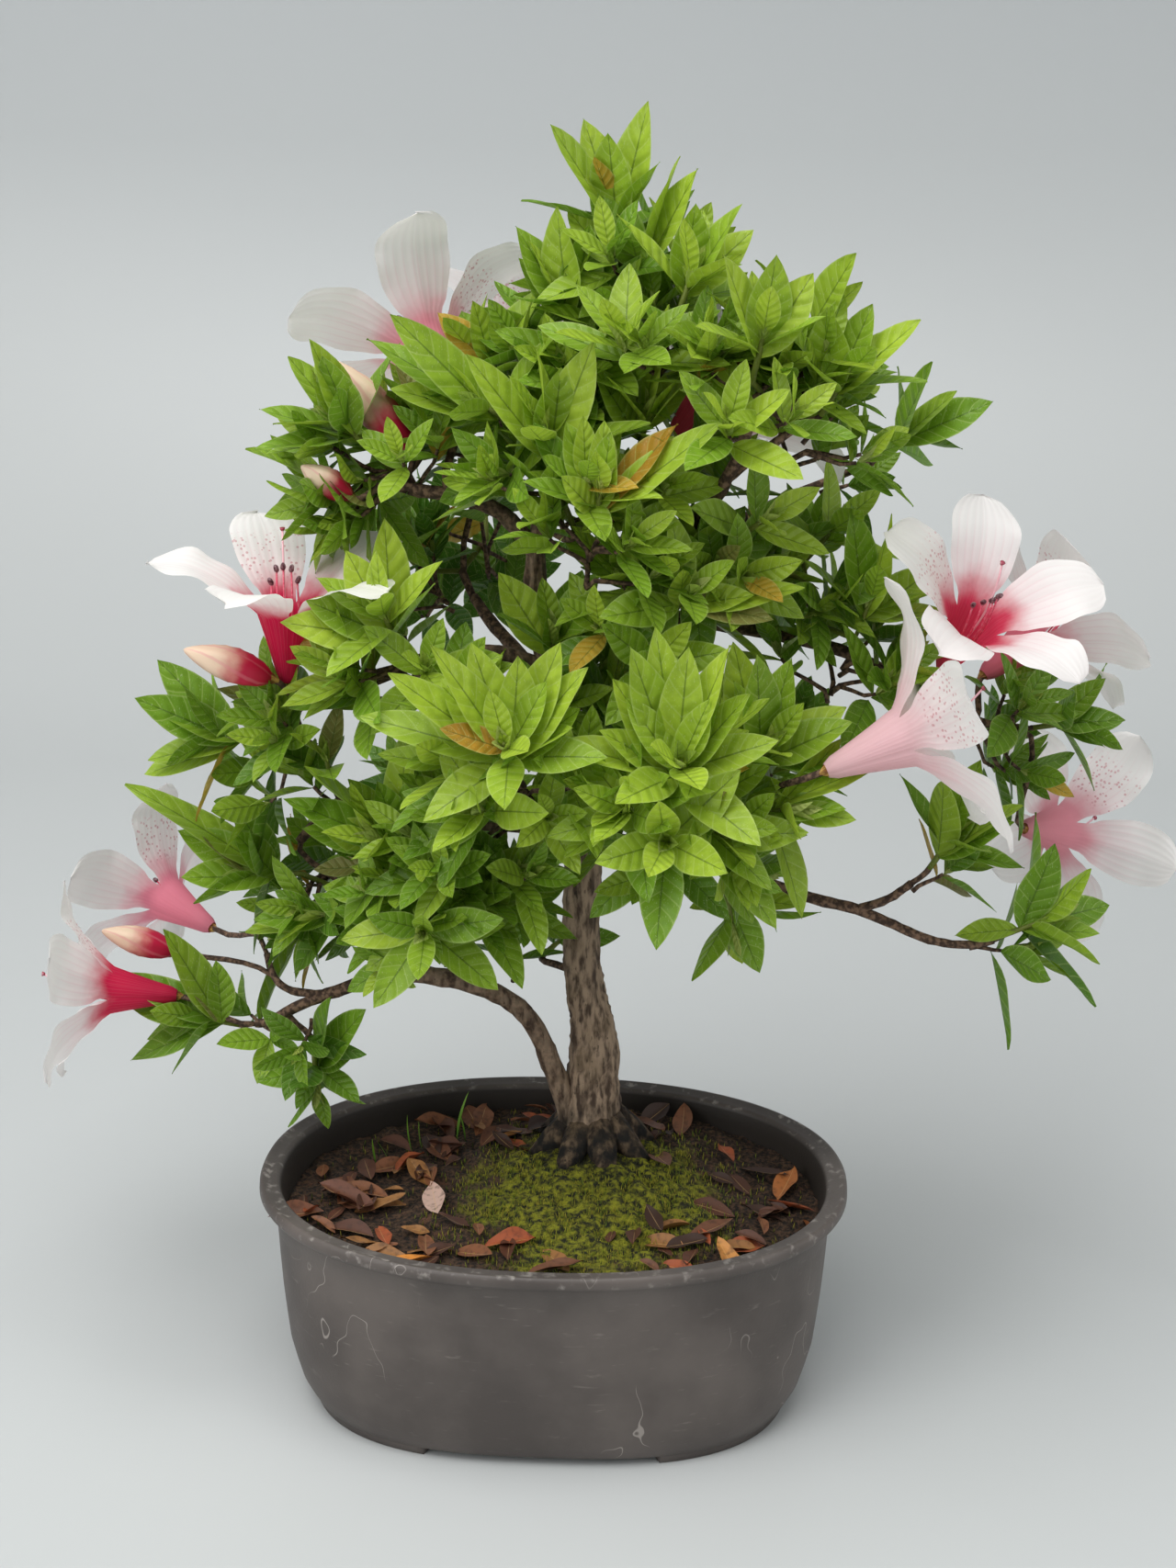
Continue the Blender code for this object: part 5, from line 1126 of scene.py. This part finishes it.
# Bud petal: satin, a little lit through, with pale lines where the petals' edges lie, and a ragged cream tip.
bud_skin, tree = new_material("bud_petal")
carried = add(tree, "ShaderNodeAttribute", {}, attribute_name="mark")
mark = add(tree, "ShaderNodeSeparateColor", {0: carried}).outputs
place = add(tree, "ShaderNodeTexCoord", {}).outputs["Object"]
ragged = add(tree, "ShaderNodeTexNoise", {"Vector": place, "Scale": 200, "Detail": 3})
reach = add(tree, "ShaderNodeMath", {0: ragged, 1: 0.25, 2: mark[0]}, operation="MULTIPLY_ADD")
cream = add(tree, "ShaderNodeMapRange", {0: reach, 1: 0.42, 2: 0.78}, **EASED)
skin = add(tree, "ShaderNodeMix", {0: cream, 6: "cf1745", 7: "f6dcc0"}, **COLOURS)
winding = add(tree, "ShaderNodeMath", {0: mark[1], 1: 31.4, 2: mark[0]}, operation="MULTIPLY_ADD")
edges = add(tree, "ShaderNodeMath", {0: winding}, operation="SINE")
edged = add(tree, "ShaderNodeMapRange", {0: edges, 1: 0.7, 2: 1.0, 3: 0, 4: 0.35}, **EASED)
skin = add(tree, "ShaderNodeMix", {0: edged, 6: skin, 7: "e98a97"}, **COLOURS)
shader = add(tree, "ShaderNodeBsdfPrincipled", {"Base Color": skin, "Roughness": 0.5})
through = add(tree, "ShaderNodeBsdfTranslucent", {"Color": skin})
thin = add(tree, "ShaderNodeMixShader", {0: 0.2, 1: shader, 2: through})
add(tree, "ShaderNodeOutputMaterial", {"Surface": thin})

for name, (low, high, radius) in BUDS.items():
    base, tip = seen(*low), seen(*high)
    heading, length = (tip - base).normalized(), (tip - base).length
    up, side = side_axes(heading, 0)
    rings, marks = [], []
    for across, along in BUD_PROFILE:
        ring = []
        for k in range(BUD_SIDES):
            turn = 2 * math.pi * k / BUD_SIDES + along * 1.6
            pleat = 1 + 0.10 * math.sin(5 * turn) * across
            out = up * math.cos(turn) + side * math.sin(turn)
            ring.append(base + heading * length * along + out * radius * MM * across * pleat)
        rings.append(ring)
        marks.append([(along, k / BUD_SIDES, 0) for k in range(BUD_SIDES)])
    sheets = [(np.array(rings), np.array(marks), PLAIN, True)]
    piece("furled_" + name, sheets, bud_skin, ["bud_" + name])

# Bud scales: papery scales, six round the foot of each bloom and bud, left from the winter bud.
# They are brown to straw yellow and stand a little open.
SCALES, BLOOM_SCALE_LENGTH, BUD_SCALE_LENGTH = 6, 10, 9
# Dry scale: papery, brown and straw in patches of 2 to 3 mm.
papery, tree = new_material("bud_scale")
place = add(tree, "ShaderNodeTexCoord", {}).outputs["Object"]
patches = add(tree, "ShaderNodeTexNoise", {"Vector": place, "Scale": 400, "Detail": 4})
patched = add(tree, "ShaderNodeMapRange", {0: patches, 1: 0.4, 2: 0.7}, **EASED)
straw = add(tree, "ShaderNodeMix", {0: patched, 6: "8a5a2c", 7: "c9a24e"}, **COLOURS)
shader = add(tree, "ShaderNodeBsdfPrincipled", {"Base Color": straw, "Roughness": 0.6})
add(tree, "ShaderNodeOutputMaterial", {"Surface": shader})

rng = random.Random(21)
sheets = []
feet = [(seen(*spot), Vector(way).normalized(), BLOOM_SCALE_LENGTH) for spot, way, *_ in BLOOMS.values()]
for low, high, _ in BUDS.values():
    feet.append((seen(*low), (seen(*high) - seen(*low)).normalized(), BUD_SCALE_LENGTH))
for foot, heading, length in feet:
    for k in range(SCALES):
        out, _ = side_axes(heading, k * 1.05 + rng.uniform(-0.2, 0.2))
        lean = (heading + out * rng.uniform(0.25, 0.45)).normalized()
        root = foot - heading * 2.5 * MM + out * 0.6 * MM
        spots, marks = blade(root, lean, -out, length * rng.uniform(0.7, 1.1) * MM, 0.12, 0.5, 0.5)
        sheets.append((spots, marks, PLAIN, False))
piece("bud_scales", sheets, papery)
